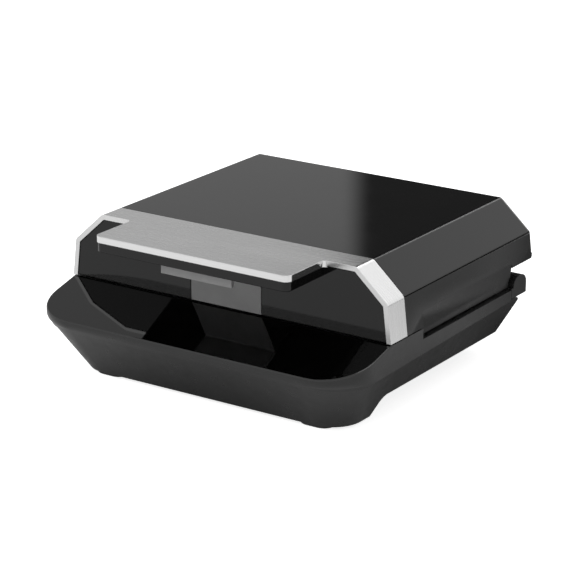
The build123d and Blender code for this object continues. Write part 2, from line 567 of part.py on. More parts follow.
def cooking_plate():
    """Cast plate, face down at z 0: flange, four drafted pockets, bosses for the screws."""
    plate = along_z(plate_outline(0), 0, PLATE_FLANGE)
    for cup in pocket_outlines():
        plate += both_sides(extrude(offset(cup, CAST_WALL), POCKET_BACK, dir=(0, 0, 1), taper=POCKET_DRAFT))
    for x, y in PLATE_SCREWS:
        plate += rod(x, y, PLATE_FLANGE / 2, PLATE_BOSS_HEIGHT, BOSS)
    for cup in pocket_outlines():
        plate -= both_sides(extrude(cup, POCKET_DEPTH, dir=(0, 0, 1), taper=POCKET_DRAFT))
    hole_end = PLATE_BOSS_HEIGHT - SCREW_BITE - SCREW_HOLE_EXTRA
    for x, y in PLATE_SCREWS:
        plate -= rod(x, y, hole_end, PLATE_BOSS_HEIGHT + 1, SCREW + 2 * PIN_FIT)
    return plate


def heating_element():
    """Tubular heater on the pockets' backs, with both tails out through the pan's back wall."""
    side = PLATE_WIDTH / 2 - HEATER_INSET
    near, far = HEATER_FRONT, HEATER_BACK
    end = PLATE_BACK - LEDGE + HEATER_TAIL_LENGTH
    tail = HEATER_TAIL
    points = [(-tail, end), (-tail, far), (-side, far), (-side, near),
              (side, near), (side, far), (tail, far), (tail, end)]
    path = FilletPolyline(*[(x, y, HEATER_HEIGHT) for x, y in points], radius=HEATER_BEND)
    return sweep(Plane(path @ 0, z_dir=path % 0) * Circle(HEATER / 2), path=path)


def element_clips():
    """Two omega straps that hold the heater's side runs on the pockets' backs."""
    side = PLATE_WIDTH / 2 - HEATER_INSET
    inner = HEATER / 2 + CLEAR
    outer = inner + CLIP_SHEET
    foot = outer + CLIP_FOOT
    base = POCKET_BACK
    high = HEATER_HEIGHT
    face = Pos(0, high) * Circle(outer)
    face += outline((-outer, base), (outer, base), (outer, high), (-outer, high))
    face += outline((-foot, base), (foot, base), (foot, base + CLIP_SHEET), (-foot, base + CLIP_SHEET))
    face -= Pos(0, high) * Circle(inner)
    face -= outline((-inner, base - outer), (inner, base - outer), (inner, high), (-inner, high))
    face &= outline((-foot, base), (foot, base), (foot, high + outer), (-foot, high + outer))
    strap = along_y(face, PLATE_MIDDLE - CLIP_WIDTH / 2, PLATE_MIDDLE + CLIP_WIDTH / 2)
    return [Pos(-side, 0, 0) * strap, Pos(side, 0, 0) * strap]


def reflector():
    """Sheet pan behind the heater, closed away from the food, with its flange under the ring."""
    low = PLATE_FLANGE + RING_DEPTH
    high = PLATE_BOSS_HEIGHT + REFLECTOR_SHEET
    pan = along_z(plate_outline(-LEDGE), low, high)
    pan += along_z(plate_outline(-LEDGE + REFLECTOR_FLANGE), low, low + REFLECTOR_SHEET)
    pan -= along_z(plate_outline(-LEDGE - REFLECTOR_SHEET), low - 1, PLATE_BOSS_HEIGHT)
    for x, y in PLATE_SCREWS:
        pan -= rod(x, y, low, high + 1, SCREW + 2 * CLEAR)
    for x in (-HEATER_TAIL, HEATER_TAIL):
        hole = Pos(x, HEATER_HEIGHT) * Circle(HEATER / 2 + CLEAR)
        pan -= along_y(hole, PLATE_BACK - 3 * LEDGE, PLATE_BACK)
    return pan


def screw(x, y, seat, bite, down=False):
    """Pointed pan-head screw whose head lies against seat, and whose shank goes bite further."""
    way = -1 if down else 1
    radius, shank, top = SCREW_HEAD / 2, SCREW / 2, SCREW_HEAD_HEIGHT
    half = outline((0, -top), (HEAD_TOP / 2, -top), (radius, -HEAD_SHOULDER), (radius, 0), (shank, 0),
                   (shank, bite - shank), (0, bite))
    body = revolve(Plane.XZ * half, Axis.Z)
    cross = Rectangle(RECESS_LENGTH, RECESS_WIDTH) + Rectangle(RECESS_WIDTH, RECESS_LENGTH)
    body -= along_z(cross, -top, -top + RECESS_DEPTH)
    return Pos(x, y, seat) * (body if way > 0 else Rot(180, 0, 0) * body)


def heater_set():
    """Plate, heater, straps, pan and screws, face down at z 0, as upper pieces."""
    seat = PLATE_BOSS_HEIGHT + REFLECTOR_SHEET
    screws = [screw(x, y, seat, SCREW_BITE, down=True) for x, y in PLATE_SCREWS]
    return {"cooking_plate": [cooking_plate()], "heating_element": [heating_element()],
            "element_clips": element_clips(), "reflector": [reflector()], "plate_screws": screws}


# ------------------------------------------------------------------ base
def hull_front(z):
    """Where the tub's sloping front lies at height z."""
    return -HULL_TOP_REACH + HULL_FRONT_SETBACK * (-HULL_TOP - z) / (HULL_DEPTH - HULL_TOP)


def hull_back(z):
    """Where the tub's leaning back wall lies at height z."""
    return HULL_BACK + HULL_BACK_SLOPE * (z + HULL_DEPTH)


def hull(inset):
    """Tapered hull of the tub, pulled in by inset, with a round shoulder at the top of its back."""
    def section(half, radius, z):
        face = rounded(-half + inset, half - inset, hull_front(z) + inset, hull_back(z) + HULL_SPARE - inset,
                       max(radius - inset, 1.0), HULL_BACK_CORNER - inset)
        return Pos(0, 0, z) * face
    top = section(HALF, HULL_TOP_CORNER, -HULL_TOP)
    floor = section(HALF - HULL_SIDE_INSET, HULL_FLOOR_CORNER, -HULL_DEPTH)
    low, high = -BODY_WIDTH, crease(BASE_BACK)
    side = outline((low, low), (hull_back(low), low), (hull_back(high), high), (low, high))
    side = offset(side, -inset, kind=Kind.INTERSECTION) if inset else side
    shoulder = side.vertices().sort_by(Axis.X)[-1]
    side = fillet(shoulder, SHOULDER_RADIUS - inset)
    if inset:
        side += outline((low, low), (BASE_BACK - WALL, low), (BASE_BACK - WALL, HALF), (low, HALF))
    return loft([floor, top]) & along_x(side, -BODY_WIDTH, BODY_WIDTH)


def side_recess(grow):
    """Recess along one side of the tub, under the shelf and behind the front corner."""
    foot, top = -HULL_DEPTH - 1, -ARCH_TOP + grow
    y0, y1 = ARCH_FRONT - grow, ARCH_FRONT - grow + ARCH_LEAN
    face = outline((y0, foot), (2 * LID_DEPTH, foot), (2 * LID_DEPTH, top), (y1, top))
    corner = [v for v in face.vertices() if v.X < y1 + 0.01 and v.Y > top - 0.01]
    face = fillet(corner, ARCH_RADIUS + grow)
    return both_sides(along_x(face, ARCH_HALF - grow, BODY_WIDTH))


def foot_places():
    """Middles of the four feet."""
    front = [(x, FOOT_FRONT_Y) for x in (-FOOT_X, FOOT_X)]
    return front + [(x, FOOT_BACK_Y) for x in (-FOOT_BACK_X, FOOT_BACK_X)]


def foot_pad(x, y, grow, z0, z1):
    """Rounded pad of one foot, or its seat."""
    length, width = FOOT_LENGTH / 2 + grow, FOOT_WIDTH / 2 + grow
    face = rounded(x - length, x + length, y - width, y + width, FOOT_RADIUS + grow)
    return along_z(face, z0, z1)


def base_tub():
    """Lower housing: hollow hull with side recesses, foot seats, screw wells and the cord hole."""
    outer = hull(0) - side_recess(0)
    inner = (hull(WALL) - side_recess(WALL)) & slab(-HALF, HALF, -BODY_WIDTH, BODY_WIDTH, FLOOR_TOP, 0)
    seat = Pos(GLAND_X, -GLAND_BELOW) * Circle(GLAND_FLANGE / 2 + GLAND_ROOM)
    well = Pos(GLAND_X, -GLAND_BELOW) * Circle(GLAND_FLANGE / 2 + GLAND_ROOM + WALL)
    tub = outer - inner + (along_y(well, GLAND_SEAT - WALL, LID_DEPTH) & outer)
    tub = tub - along_y(seat, GLAND_SEAT, LID_DEPTH) - above_crease()
    for x, y in foot_places():
        tub -= foot_pad(x, y, PIN_FIT, -HULL_DEPTH - 1, -HULL_DEPTH + FOOT_SEAT)
    for x, y in BASE_SCREWS:
        tub += rod(x, y, FLOOR_TOP - WALL / 2, TUB_PAD_TOP, BOSS)
        tub -= rod(x, y, -HULL_DEPTH - 1, TUB_PAD_TOP + 1, SCREW + 2 * CLEAR)
        tub -= rod(x, y, -HULL_DEPTH - 1, SCREW_SEAT, SCREW_HEAD + 2 * CLEAR)
    hole = Pos(GLAND_X, -GLAND_BELOW) * Circle(GLAND_BODY / 2 + PIN_FIT)
    return tub - along_y(hole, GLAND_SEAT - 2 * WALL, GLAND_SEAT + WALL)


def deck_block(inset):
    """Block of the deck, pulled in by inset: upright, then curving into the tub's sloping front."""
    def section(z, front, radius):
        face = rounded(-HALF + inset, HALF - inset, front + inset, BASE_BACK - inset,
                       radius - inset, DECK_BACK_CORNER - inset)
        return Pos(0, 0, z) * face
    steepness = HULL_FRONT_SETBACK / (HULL_DEPTH - HULL_TOP)
    bend = -HULL_TOP - (HULL_TOP_REACH + DECK_OVER - RAMP_REACH) / steepness
    start, end, low = bend + DECK_TURN, bend - DECK_TURN, -CREASE_FRONT - 1
    first = section(start, -RAMP_REACH, DECK_CORNER)
    middle = section(bend, -RAMP_REACH + steepness * DECK_TURN / 4, (3 * DECK_CORNER + DECK_LOW_CORNER) / 4)
    last = section(end, hull_front(end) - DECK_OVER, DECK_LOW_CORNER)
    lowest = section(low, hull_front(low) - DECK_OVER, DECK_LOW_CORNER)
    upright = extrude(first, -SEAM - start, dir=(0, 0, 1))
    return upright + loft([last, middle, first]) + loft([lowest, last])


def base_deck():
    """Upper housing: ramp, side bands, side ledges, plate ring, hinge lugs, latch slot and bosses."""
    def ramp_cut(depth):
        face = outline((0, -SEAM - depth), (-BODY_WIDTH, ramp(-BODY_WIDTH, depth)),
                       (-BODY_WIDTH, HALF), (0, HALF))
        return along_x(face, -BODY_WIDTH, BODY_WIDTH)

    def ledge_cut(grow):
        inner = HALF - LEDGE_WIDTH - grow
        top = -SKIRT_DROP - SIDE_GAP - grow
        return both_sides(slab(inner, BODY_WIDTH, SKIRT_FRONT - 2 * CLEAR - grow, BODY_WIDTH, top, HALF))

    outer = deck_block(0) - ramp_cut(0) - ledge_cut(0)
    across = [e for e in outer.edges() if abs((e % 0.5).X) > 0.99]
    on_ramp = [e for e in across if abs(e.center().Z - ramp(e.center().Y)) < 0.1]
    outer = fillet(min(on_ramp, key=lambda e: e.center().Y), DECK_EDGE_RADIUS)
    inner = deck_block(WALL) - ramp_cut(WALL) - ledge_cut(WALL)
    inner &= slab(-HALF, HALF, -BODY_WIDTH, BODY_WIDTH, -BODY_WIDTH, -SEAM - WALL)
    rim = CREASE_LIP
    inside = along_z(rounded(-HALF + rim, HALF - rim, -RAMP_REACH + rim, BASE_BACK - rim,
                             DECK_CORNER - rim, 1.0), -BODY_WIDTH, 0)
    lip = (deck_block(WALL / 2) - inside) & (above_crease() - above_crease(WALL))
    deck = (outer - inner + lip) & above_crease()

    # ring that holds the lower plate
    ledge_z = LOWER_FACE - PLATE_FLANGE
    deck += along_z(plate_outline(RING_WALL), ledge_z - RING_DEPTH, -SEAM)
    deck -= along_z(plate_outline(CLEAR), ledge_z, 0)
    deck -= along_z(plate_outline(-LEDGE), -CREASE_FRONT - 1, 0)

    # hinge lugs
    back = BASE_BACK + LUG_LENGTH
    lug = outline((BASE_BACK - WALL, -LUG_TOP - LUG_HEIGHT), (back, -LUG_TOP - LUG_HEIGHT), (back, -LUG_TOP),
                  (BASE_BACK, -LUG_TOP), (BASE_BACK, PIVOT_Z), (BASE_BACK - WALL, PIVOT_Z))
    lug = fillet([v for v in lug.vertices() if v.Y > -LUG_TOP - 0.01], LUG_RADIUS)
    deck += both_sides(along_x(lug, LUG_INNER, HALF))
    pin_end = LUG_INNER + PIN_SEAT
    deck -= both_sides(rod_x(PIVOT_Y, PIVOT_Z, LUG_INNER - 1, pin_end, PIN_DIAMETER + 2 * PIN_FIT))

    # slot for the latch hook; its back edge is the catch
    leg_front = PIVOT_BEHIND + CLEAR
    slot = HOOK_WIDTH / 2 + LATCH_SIDE_ROOM
    deck -= slab(-slot, slot, leg_front - LATCH_SWING_ROOM, leg_front + HOOK_LEG + HOOK_TOOTH + CLEAR,
                 -SEAM - WALL - 1, 0)

    # bosses down to the tub's floor
    for x, y in BASE_SCREWS:
        deck += rod(x, y, TUB_PAD_TOP, ramp(min(y, 0), WALL / 2), BOSS)
        deck -= rod(x, y, TUB_PAD_TOP - 1, TUB_PAD_TOP + SCREW_BITE + SCREW_HOLE_EXTRA, SCREW + 2 * PIN_FIT)
    return deck


def hinge_pins():
    """Two headed steel pins, pushed outwards through the knuckles into the lugs."""
    pin = rod_x(PIVOT_Y, PIVOT_Z, PIN_START, LUG_INNER + PIN_SEAT - CLEAR, PIN_DIAMETER)
    pin += rod_x(PIVOT_Y, PIVOT_Z, PIN_START - PIN_HEAD_THICKNESS, PIN_START, PIN_HEAD)
    return [pin, mirror(pin, Plane.YZ)]


def cord_gland():
    """Flanged bush in the tub's back wall, bare of any cord."""
    ring = Pos(GLAND_X, -GLAND_BELOW)
    inner = GLAND_SEAT - WALL - GLAND_COLLAR
    outer = GLAND_SEAT + GLAND_RIM
    bush = along_y(ring * Circle(GLAND_BODY / 2), inner, outer)
    bush += along_y(ring * Circle(GLAND_FLANGE / 2), GLAND_SEAT, outer)
    bush += along_y(ring * Circle(GLAND_BODY / 2 + GLAND_SNAP), inner, GLAND_SEAT - WALL)
    return bush - along_y(ring * Circle(GLAND_BORE / 2), inner - 1, outer + 1)


def terminal_block():
    """Ceramic block on the tub's floor, with two cells and their screws' wells."""
    x, y = TERMINAL_AT
    length, width, height = TERMINAL_SIZE
    block = along_z(rounded(x - length / 2, x + length / 2, y - width / 2, y + width / 2,
                            TERMINAL_CORNER),
                    FLOOR_TOP, FLOOR_TOP + height)
    for side in (-1, 1):
        cell = x + side * length / 4
        block -= along_y(Pos(cell, TERMINAL_CELL_Z) * Circle(TERMINAL_CELL / 2), y - width, y + width)
        block -= rod(cell, y, TERMINAL_CELL_Z, FLOOR_TOP + height + 1, TERMINAL_WELL)
    return block


def thermostat():
    """Disc thermostat under the pan, on its bracket, with two blades."""
    x, y = THERMOSTAT_AT
    radius = THERMOSTAT_DIAMETER / 2
    reach = radius + THERMOSTAT_EAR
    top = PAN_UNDER - THERMOSTAT_TAB
    thick, wide, long = THERMOSTAT_BLADE
    body = rod(x, y, top - THERMOSTAT_HEIGHT, top, THERMOSTAT_DIAMETER)
    body += along_z(rounded(x - reach, x + reach, y - radius / 2, y + radius / 2, radius / 3), top, PAN_UNDER)
    for side in (-1, 1):
        blade = x + side * radius / 2
        body += slab(blade - thick / 2, blade + thick / 2, y - wide / 2, y + wide / 2,
                     top - THERMOSTAT_HEIGHT - long, top - THERMOSTAT_HEIGHT)
    return body


def thermal_fuse():
    """Sleeved thermal fuse against the pan, with its two leads."""
    x, y = FUSE_AT
    z = PAN_UNDER - CLEAR - FUSE_DIAMETER / 2
    fuse = rod_x(y, z, x - FUSE_LENGTH / 2, x + FUSE_LENGTH / 2, FUSE_DIAMETER)
    return fuse + rod_x(y, z, x - FUSE_LENGTH, x + FUSE_LENGTH, FUSE_LEAD)


def wire(*points):
    """Insulated wire through the points."""
    path = FilletPolyline(*points, radius=WIRE_BEND)
    return sweep(Plane(path @ 0, z_dir=path % 0) * Circle(WIRE / 2), path=path)


def internal_wires():
    """Wires from the gland to the terminals, and from a terminal to the thermostat."""
    x, y = TERMINAL_AT
    length, width = TERMINAL_SIZE[:2]
    back = y + width / 2 + CLEAR
    z = TERMINAL_CELL_Z
    inlet_y = GLAND_SEAT - WALL - GLAND_COLLAR - CLEAR
    wires = []
    for side in (-1, 1):
        core, cell = GLAND_X + side * CORE_GAP, x + side * length / 4
        wires.append(wire((core, inlet_y, -GLAND_BELOW), (core, inlet_y - WIRE_RUN, -GLAND_BELOW),
                          (cell, back + WIRE_RUN, z), (cell, back, z)))
    front = y - width / 2 - CLEAR
    tx, ty = THERMOSTAT_AT
    radius = THERMOSTAT_DIAMETER / 2
    blade_z = PAN_UNDER - THERMOSTAT_TAB - THERMOSTAT_HEIGHT - THERMOSTAT_BLADE[2] - CLEAR - WIRE / 2
    cell = x + length / 4
    wires.append(wire((cell, front, z), (cell, front - WIRE_RUN, z), (tx - 2 * radius, ty - radius, blade_z),
                      (tx - radius / 2, ty, blade_z)))
    return wires


# ------------------------------------------------------------------ assembly and files
def place(shape):
    """Move a shape so that the origin is under the middle of the footprint."""
    return Pos(-ORIGIN[0], -ORIGIN[1], -ORIGIN[2]) * shape


def save(name, shapes):
    """Write one node from one solid or several."""
    solids = [solid for shape in shapes for solid in place(shape).solids()]
    node = solids[0] if len(solids) == 1 else Compound(children=solids)
    export_step(node, f"parts/{name}.step")


def main():
    os.makedirs("parts", exist_ok=True)
    nodes = {
        "steel_band": [steel_band()],
        "handle_trim": [handle_trim()],
        "front_panel": [front_panel()],
        "lid_cover": [lid_cover()],
        "lid_frame": [lid_frame()],
        "latch_lever": [latch_lever()],
        "latch_pin": [latch_pin()],
        "latch_spring": [latch_spring()],
        "base_tub": [base_tub()],
        "base_deck": [base_deck()],
        "hinge_pins": hinge_pins(),
        "cord_gland": [cord_gland()],
        "terminal_block": [terminal_block()],
        "thermostat": [thermostat()],
        "thermal_fuse": [thermal_fuse()],
        "internal_wires": internal_wires(),
        "rubber_feet": [foot_pad(x, y, 0, ORIGIN[2], -HULL_DEPTH + FOOT_SEAT) for x, y in foot_places()],
        "base_screws": [screw(x, y, SCREW_SEAT, TUB_PAD_TOP - SCREW_SEAT + SCREW_BITE)
                        for x, y in BASE_SCREWS],
        "lid_screws": [screw(x, y, SCREW_HEAD_HEIGHT + CLEAR, LID_PAD_TOP - SCREW_HEAD_HEIGHT + SCREW_BITE)
                       for x, y in LID_SCREWS],
        "handle_screws": [screw(x, y, TRIM_TOP - TONGUE_HEIGHT, TONGUE_HEIGHT + HANDLE_SCREW_BITE)
                          for x, y in HANDLE_SCREWS],
    }
    for name, shapes in heater_set().items():
        nodes["upper_" + name] = [Pos(0, 0, UPPER_FACE) * shape for shape in shapes]
        nodes["lower_" + name] = [Pos(0, 0, LOWER_FACE) * mirror(shape, Plane.XY) for shape in shapes]
    for name, shapes in nodes.items():
        save(name, shapes)
        print(name, len(shapes))


main()
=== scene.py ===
# %% [markdown]
# # A sandwich maker, dressed for its picture
# The solids of the appliance come from the CAD side already in place: a base with a glossy ramp, a
# hinged lid, a brushed steel band that grows into the handle, and a small latch under the handle.
# This lesson gives them their plastics and metals, swaps the small repeated pieces for finer ones
# made with Geometry Nodes, and builds a plain white studio round them.

# %% Load the frame
import bmesh
import bpy
import json
import math
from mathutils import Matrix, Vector


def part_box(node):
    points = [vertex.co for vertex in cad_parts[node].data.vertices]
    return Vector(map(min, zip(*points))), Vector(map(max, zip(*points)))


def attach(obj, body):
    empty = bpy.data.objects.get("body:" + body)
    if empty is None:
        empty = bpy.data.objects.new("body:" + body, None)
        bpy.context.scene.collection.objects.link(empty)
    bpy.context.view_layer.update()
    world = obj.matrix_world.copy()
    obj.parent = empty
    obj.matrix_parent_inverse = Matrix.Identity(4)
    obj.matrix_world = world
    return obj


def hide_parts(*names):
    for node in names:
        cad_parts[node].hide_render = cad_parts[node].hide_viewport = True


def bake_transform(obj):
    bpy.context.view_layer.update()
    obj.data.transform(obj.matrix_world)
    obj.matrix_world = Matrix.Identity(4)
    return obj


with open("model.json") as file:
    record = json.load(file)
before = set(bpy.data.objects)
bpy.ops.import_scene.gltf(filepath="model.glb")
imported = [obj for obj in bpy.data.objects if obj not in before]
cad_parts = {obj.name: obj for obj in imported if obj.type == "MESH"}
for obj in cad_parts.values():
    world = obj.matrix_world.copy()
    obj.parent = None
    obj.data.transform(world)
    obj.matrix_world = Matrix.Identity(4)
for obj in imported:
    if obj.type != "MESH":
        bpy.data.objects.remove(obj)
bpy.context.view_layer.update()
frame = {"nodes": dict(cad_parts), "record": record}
nodes = frame["nodes"]
scene = bpy.context.scene


def mm(metres):
    """Length in millimetres, for printing."""
    return round(metres * 1000, 1)


# %% [markdown]
# ## The camera
# A product picture like this is taken from a metre and a half away with a long lens, because a
# long lens keeps the parallel edges of a box nearly parallel. The camera is described the way a
# photographer would: how far round, how far up, how far off, and which point it looks at.

# %% Where the camera stands
ROUND = math.radians(33.88)
UP = math.radians(18.75)
DISTANCE = 1.65897
AIM = Vector((-0.011875, 0.023217, 0.042539))


def toward_camera(turn, rise):
    """Unit vector from the object to a camera that is turned and raised by two angles."""
    return Vector((math.sin(turn) * math.cos(rise), -math.cos(turn) * math.cos(rise), math.sin(rise)))


print("camera stands at", [round(v, 3) for v in AIM + toward_camera(ROUND, UP) * DISTANCE], "m")

# %% The camera
SENSOR = 36.0
PICTURE_WIDTH = 580
FOCAL_IN_PIXELS = 2349.38
CLIP_END = 20

camera = bpy.data.objects.new("camera", bpy.data.cameras.new("camera"))
scene.collection.objects.link(camera)
camera.data.sensor_width = SENSOR
camera.data.lens = FOCAL_IN_PIXELS * SENSOR / PICTURE_WIDTH
camera.data.clip_end = CLIP_END
camera.location = AIM + toward_camera(ROUND, UP) * DISTANCE
camera.rotation_mode = "QUATERNION"
camera.rotation_quaternion = (-toward_camera(ROUND, UP)).to_track_quat("-Z", "Y")
bpy.context.scene.camera = camera
print("lens", round(camera.data.lens, 1), "mm")

# %% [markdown]
# ## Node trees in few words
# Every material, and every piece made by a rule, is a tree of nodes. Such trees can be drawn by hand
# in the editor. Here they are written, because a written tree can be read from top to bottom. A few
# small helpers keep the writing short: a node takes its settings and its links by name.

# %% Helpers for node trees
def rgba(value):
    """Grey number or colour as four numbers."""
    return (value, value, value, 1) if isinstance(value, (int, float)) else (*value, 1)


def link(tree, source, target):
    """Join an output to a socket, or set the socket where the source is a plain value."""
    if isinstance(source, bpy.types.NodeSocket):
        tree.links.new(source, target)
    elif target.type == "RGBA":
        target.default_value = rgba(source)
    else:
        target.default_value = source


def node(tree, kind, **values):
    """Add a node, with its properties and its sockets given by name."""
    made = tree.nodes.new(kind)
    for key, value in values.items():
        label = key.replace("_", " ")
        if label in made.inputs:
            link(tree, value, made.inputs[label])
        else:
            setattr(made, key, value)
    return made


print("grey 0.5 as a colour", rgba(0.5))

# %% Helpers for sums and shaders
def calculate(tree, operation, first, second=0.0):
    """One Math node on two sockets or numbers."""
    made = node(tree, "ShaderNodeMath", operation=operation)
    link(tree, first, made.inputs[0])
    link(tree, second, made.inputs[1])
    return made.outputs[0]


def mixed(tree, factor, first, second):
    """Mix two shaders by a factor."""
    made = node(tree, "ShaderNodeMixShader")
    for source, target in zip((factor, first, second), made.inputs):
        link(tree, source, target)
    return made.outputs[0]


print("sum and shader helpers ready")

# %% [markdown]
# ## The tent
# Black gloss has almost no colour of its own: what is seen on it is the room. Small products are
# pictured in a tent of white cloth, which lights them from all sides. It could be a big white box,
# but a world colour does the same with no mesh. The camera and the mirrors see it pure white, and
# the surfaces are lit by a dimmer one, so that the background is white and the object isn't washed out.

# %% Daylight tent
WHITE = 1.0
TENT = 0.62
CLOTH = 0.97

scene.view_settings.view_transform = "Standard"
world = bpy.data.worlds.new("tent")
scene.world = world
world.use_nodes = True
tree = world.node_tree
tree.nodes.clear()
path = node(tree, "ShaderNodeLightPath").outputs
seen = calculate(tree, "MAXIMUM", path["Is Camera Ray"], path["Is Glossy Ray"])
seen_too = calculate(tree, "MAXIMUM", seen, path["Is Transmission Ray"])
room = node(tree, "ShaderNodeBackground", Color=CLOTH, Strength=TENT).outputs[0]
backdrop = node(tree, "ShaderNodeBackground", Color=1.0, Strength=WHITE).outputs[0]
node(tree, "ShaderNodeOutputWorld", Surface=mixed(tree, seen_too, room, backdrop))
print("tent light", TENT)

# %% [markdown]
# ## Two soft boxes
# A tent alone gives no direction, and a steel plate under it looks flat. One large lamp from the
# front left shapes the body, and a weak one from above lifts the lid. Area lamps were chosen because
# their size sets how soft a shadow is. The large one is kept out of reflections: on the ramp, which
# mirrors the dark panel above it, it would be seen twice.

# %% Soft boxes
MIDDLE = (0.0, 0.0, 0.05)


def soft_box(name, place, side, power):
    """Square area lamp that looks from a place to the object's middle."""
    lamp = bpy.data.lights.new(name, "AREA")
    lamp.shape = "RECTANGLE"
    lamp.size = side
    lamp.size_y = side
    lamp.energy = power
    lamp_object = bpy.data.objects.new(name, lamp)
    scene.collection.objects.link(lamp_object)
    lamp_object.location = place
    lamp_object.rotation_euler = (Vector(MIDDLE) - Vector(place)).to_track_quat("-Z", "Y").to_euler()
    return lamp_object


key_box = soft_box("key_box", place=(-1.1, -0.9, 1.5), side=1.4, power=16)
key_box.visible_glossy = False
top_box = soft_box("top_box", place=(0.5, 0.6, 1.9), side=1.0, power=5)
print("soft boxes of", key_box.data.energy, "and", top_box.data.energy, "W")

# %% [markdown]
# ## The floor
# The object stands on a sheet of white paper, large enough to reach past every view. It could curve
# up behind the object, as a studio's paper does, but the world is white already, so a flat sheet
# is enough.

# %% Floor sheet
FLOOR_HALF = 6.0
FLOOR_CORNERS = ((-1, -1), (1, -1), (1, 1), (-1, 1))


def sheet_object(name, corners):
    """Flat four-cornered sheet."""
    mesh = bpy.data.meshes.new(name)
    mesh.from_pydata(corners, [], [(0, 1, 2, 3)])
    made = bpy.data.objects.new(name, mesh)
    scene.collection.objects.link(made)
    return made


floor = sheet_object("floor", [(x * FLOOR_HALF, y * FLOOR_HALF, 0) for x, y in FLOOR_CORNERS])
print("floor", 2 * FLOOR_HALF, "m wide")

# %% [markdown]
# ## What the walls mirror
# The black walls mirror the floor round the object, and the paper isn't equally bright there: it
# falls off towards the back, and darkens close to the feet. Lamps could be moved until this comes
# about, but they would change everything else too. Here the paper has painted shade of its own for
# reflections. It follows how far a point lies, and how far towards the back, and a second map paints
# a contact shadow, a dark ring close to the object.

# %% Helpers for materials
def new_material(name):
    """Material with an empty node tree."""
    made = bpy.data.materials.new(name)
    made.use_nodes = True
    made.node_tree.nodes.clear()
    return made, made.node_tree


def gauge(tree, operation, place, other=(0.0, 0.0, 0.0)):
    """Number from a place: its own length, its distance from another, or its reach along it."""
    made = node(tree, "ShaderNodeVectorMath", operation=operation)
    link(tree, place, made.inputs[0])
    link(tree, other, made.inputs[1])
    return made.outputs["Value"]


def mapped(tree, value, start, end, low=0.0, high=1.0, curve="SMOOTHSTEP"):
    """Number that goes from low to high while a value goes from start to end."""
    made = node(tree, "ShaderNodeMapRange", interpolation_type=curve, Value=value,
                From_Min=start, From_Max=end, To_Min=low, To_Max=high)
    return made.outputs["Result"]


print("material helpers ready")

# %% Mix two numbers or two colours
MIX_SOCKETS = {"FLOAT": (2, 3, 0), "RGBA": (6, 7, 2)}  # where each kind goes in, and comes out


def blended(tree, factor, first, second, kind="FLOAT"):
    """Mix two numbers, or two colours, by a factor."""
    made = node(tree, "ShaderNodeMix", data_type=kind)
    first_way_in, second_way_in, way_out = MIX_SOCKETS[kind]
    link(tree, factor, made.inputs[0])
    link(tree, first, made.inputs[first_way_in])
    link(tree, second, made.inputs[second_way_in])
    return made.outputs[way_out]


print("one Mix node serves", len(MIX_SOCKETS), "kinds of value")

# %% The paper's painted shade in reflections
FADE = {"start": 0.30, "end": 0.46}
# Painted shade: these tones darken the paper towards the back, as it is seen in reflections.
NEAR_TONE = {"start": 0.48, "end": 0.84, "low": 0.87, "high": 0.2}
FAR_TONE = {"start": 0.60, "end": 0.92, "low": 0.88, "high": 0.05}
CONTACT_SHADOW_PAINT = {"start": 0.135, "end": 0.215, "low": 0.28, "high": 1.0}
SHADOW_PAINT_MIDDLE = (0.0, 0.05, 0.0)

paper, tree = new_material("floor_paper")
place = node(tree, "ShaderNodeTexCoord").outputs["Object"]
away = gauge(tree, "LENGTH", place)
backward = calculate(tree, "DIVIDE", node(tree, "ShaderNodeSeparateXYZ", Vector=place).outputs["Y"], away)
near_tone = mapped(tree, backward, **NEAR_TONE)
far_tone = mapped(tree, backward, **FAR_TONE)
tone = blended(tree, mapped(tree, away, **FADE), near_tone, far_tone)
# Painted contact shadow: a dark ring round the object's middle, seen in reflections only.
painted_contact_shadow = mapped(tree, gauge(tree, "DISTANCE", place, SHADOW_PAINT_MIDDLE), **CONTACT_SHADOW_PAINT)
painted_shade = calculate(tree, "MULTIPLY", tone, painted_contact_shadow)
print("paper's tone from", FAR_TONE["high"], "to", FAR_TONE["low"])

# %% [markdown]
# ## The paper
# For the camera, a little light of the paper's own is added to it, so that it melts into the white
# behind it and still keeps the shadow. For reflections it takes the painted shade above, part of it lit
# by the lamps and part glowing, because a fully lit tone is too dark under the object's overhang.

# %% The paper's material
PAPER = 0.86
PAPER_GLOW = 0.8
OWN_SHARE = 0.45
OWN_LIGHT = 0.87

matt = node(tree, "ShaderNodeBsdfDiffuse", Color=PAPER).outputs[0]
glow = node(tree, "ShaderNodeEmission", Color=1.0, Strength=PAPER_GLOW).outputs[0]
both = node(tree, "ShaderNodeAddShader")
link(tree, matt, both.inputs[0])
link(tree, glow, both.inputs[1])
mirrored = node(tree, "ShaderNodeBsdfDiffuse", Color=painted_shade).outputs[0]
own_light = node(tree, "ShaderNodeEmission", Color=painted_shade, Strength=OWN_LIGHT).outputs[0]
softened = mixed(tree, OWN_SHARE, mirrored, own_light)
path = node(tree, "ShaderNodeLightPath").outputs
to_camera = mixed(tree, path["Is Camera Ray"], matt, both.outputs[0])
to_all = mixed(tree, path["Is Glossy Ray"], to_camera, softened)
node(tree, "ShaderNodeOutputMaterial", Surface=to_all)
floor.data.materials.append(paper)
print("paper", len(tree.nodes), "nodes")

# %% [markdown]
# ## The card
# The lid's top changes softly from grey to black, because it mirrors a tall card behind the object
# that is light on one half and dark on the other. A photographer would hold up two cards. Here one
# sheet carries both tones, with a soft step drawn by a ramp on its own coordinates, so the step can
# be placed to the centimetre. It is seen by reflections only.

# %% Upright sheets
CARD_LOW = 0.12
CARD_HIGH = 2.6
ahead = Vector((-math.sin(ROUND), math.cos(ROUND), 0))
across = Vector((math.cos(ROUND), math.sin(ROUND), 0))


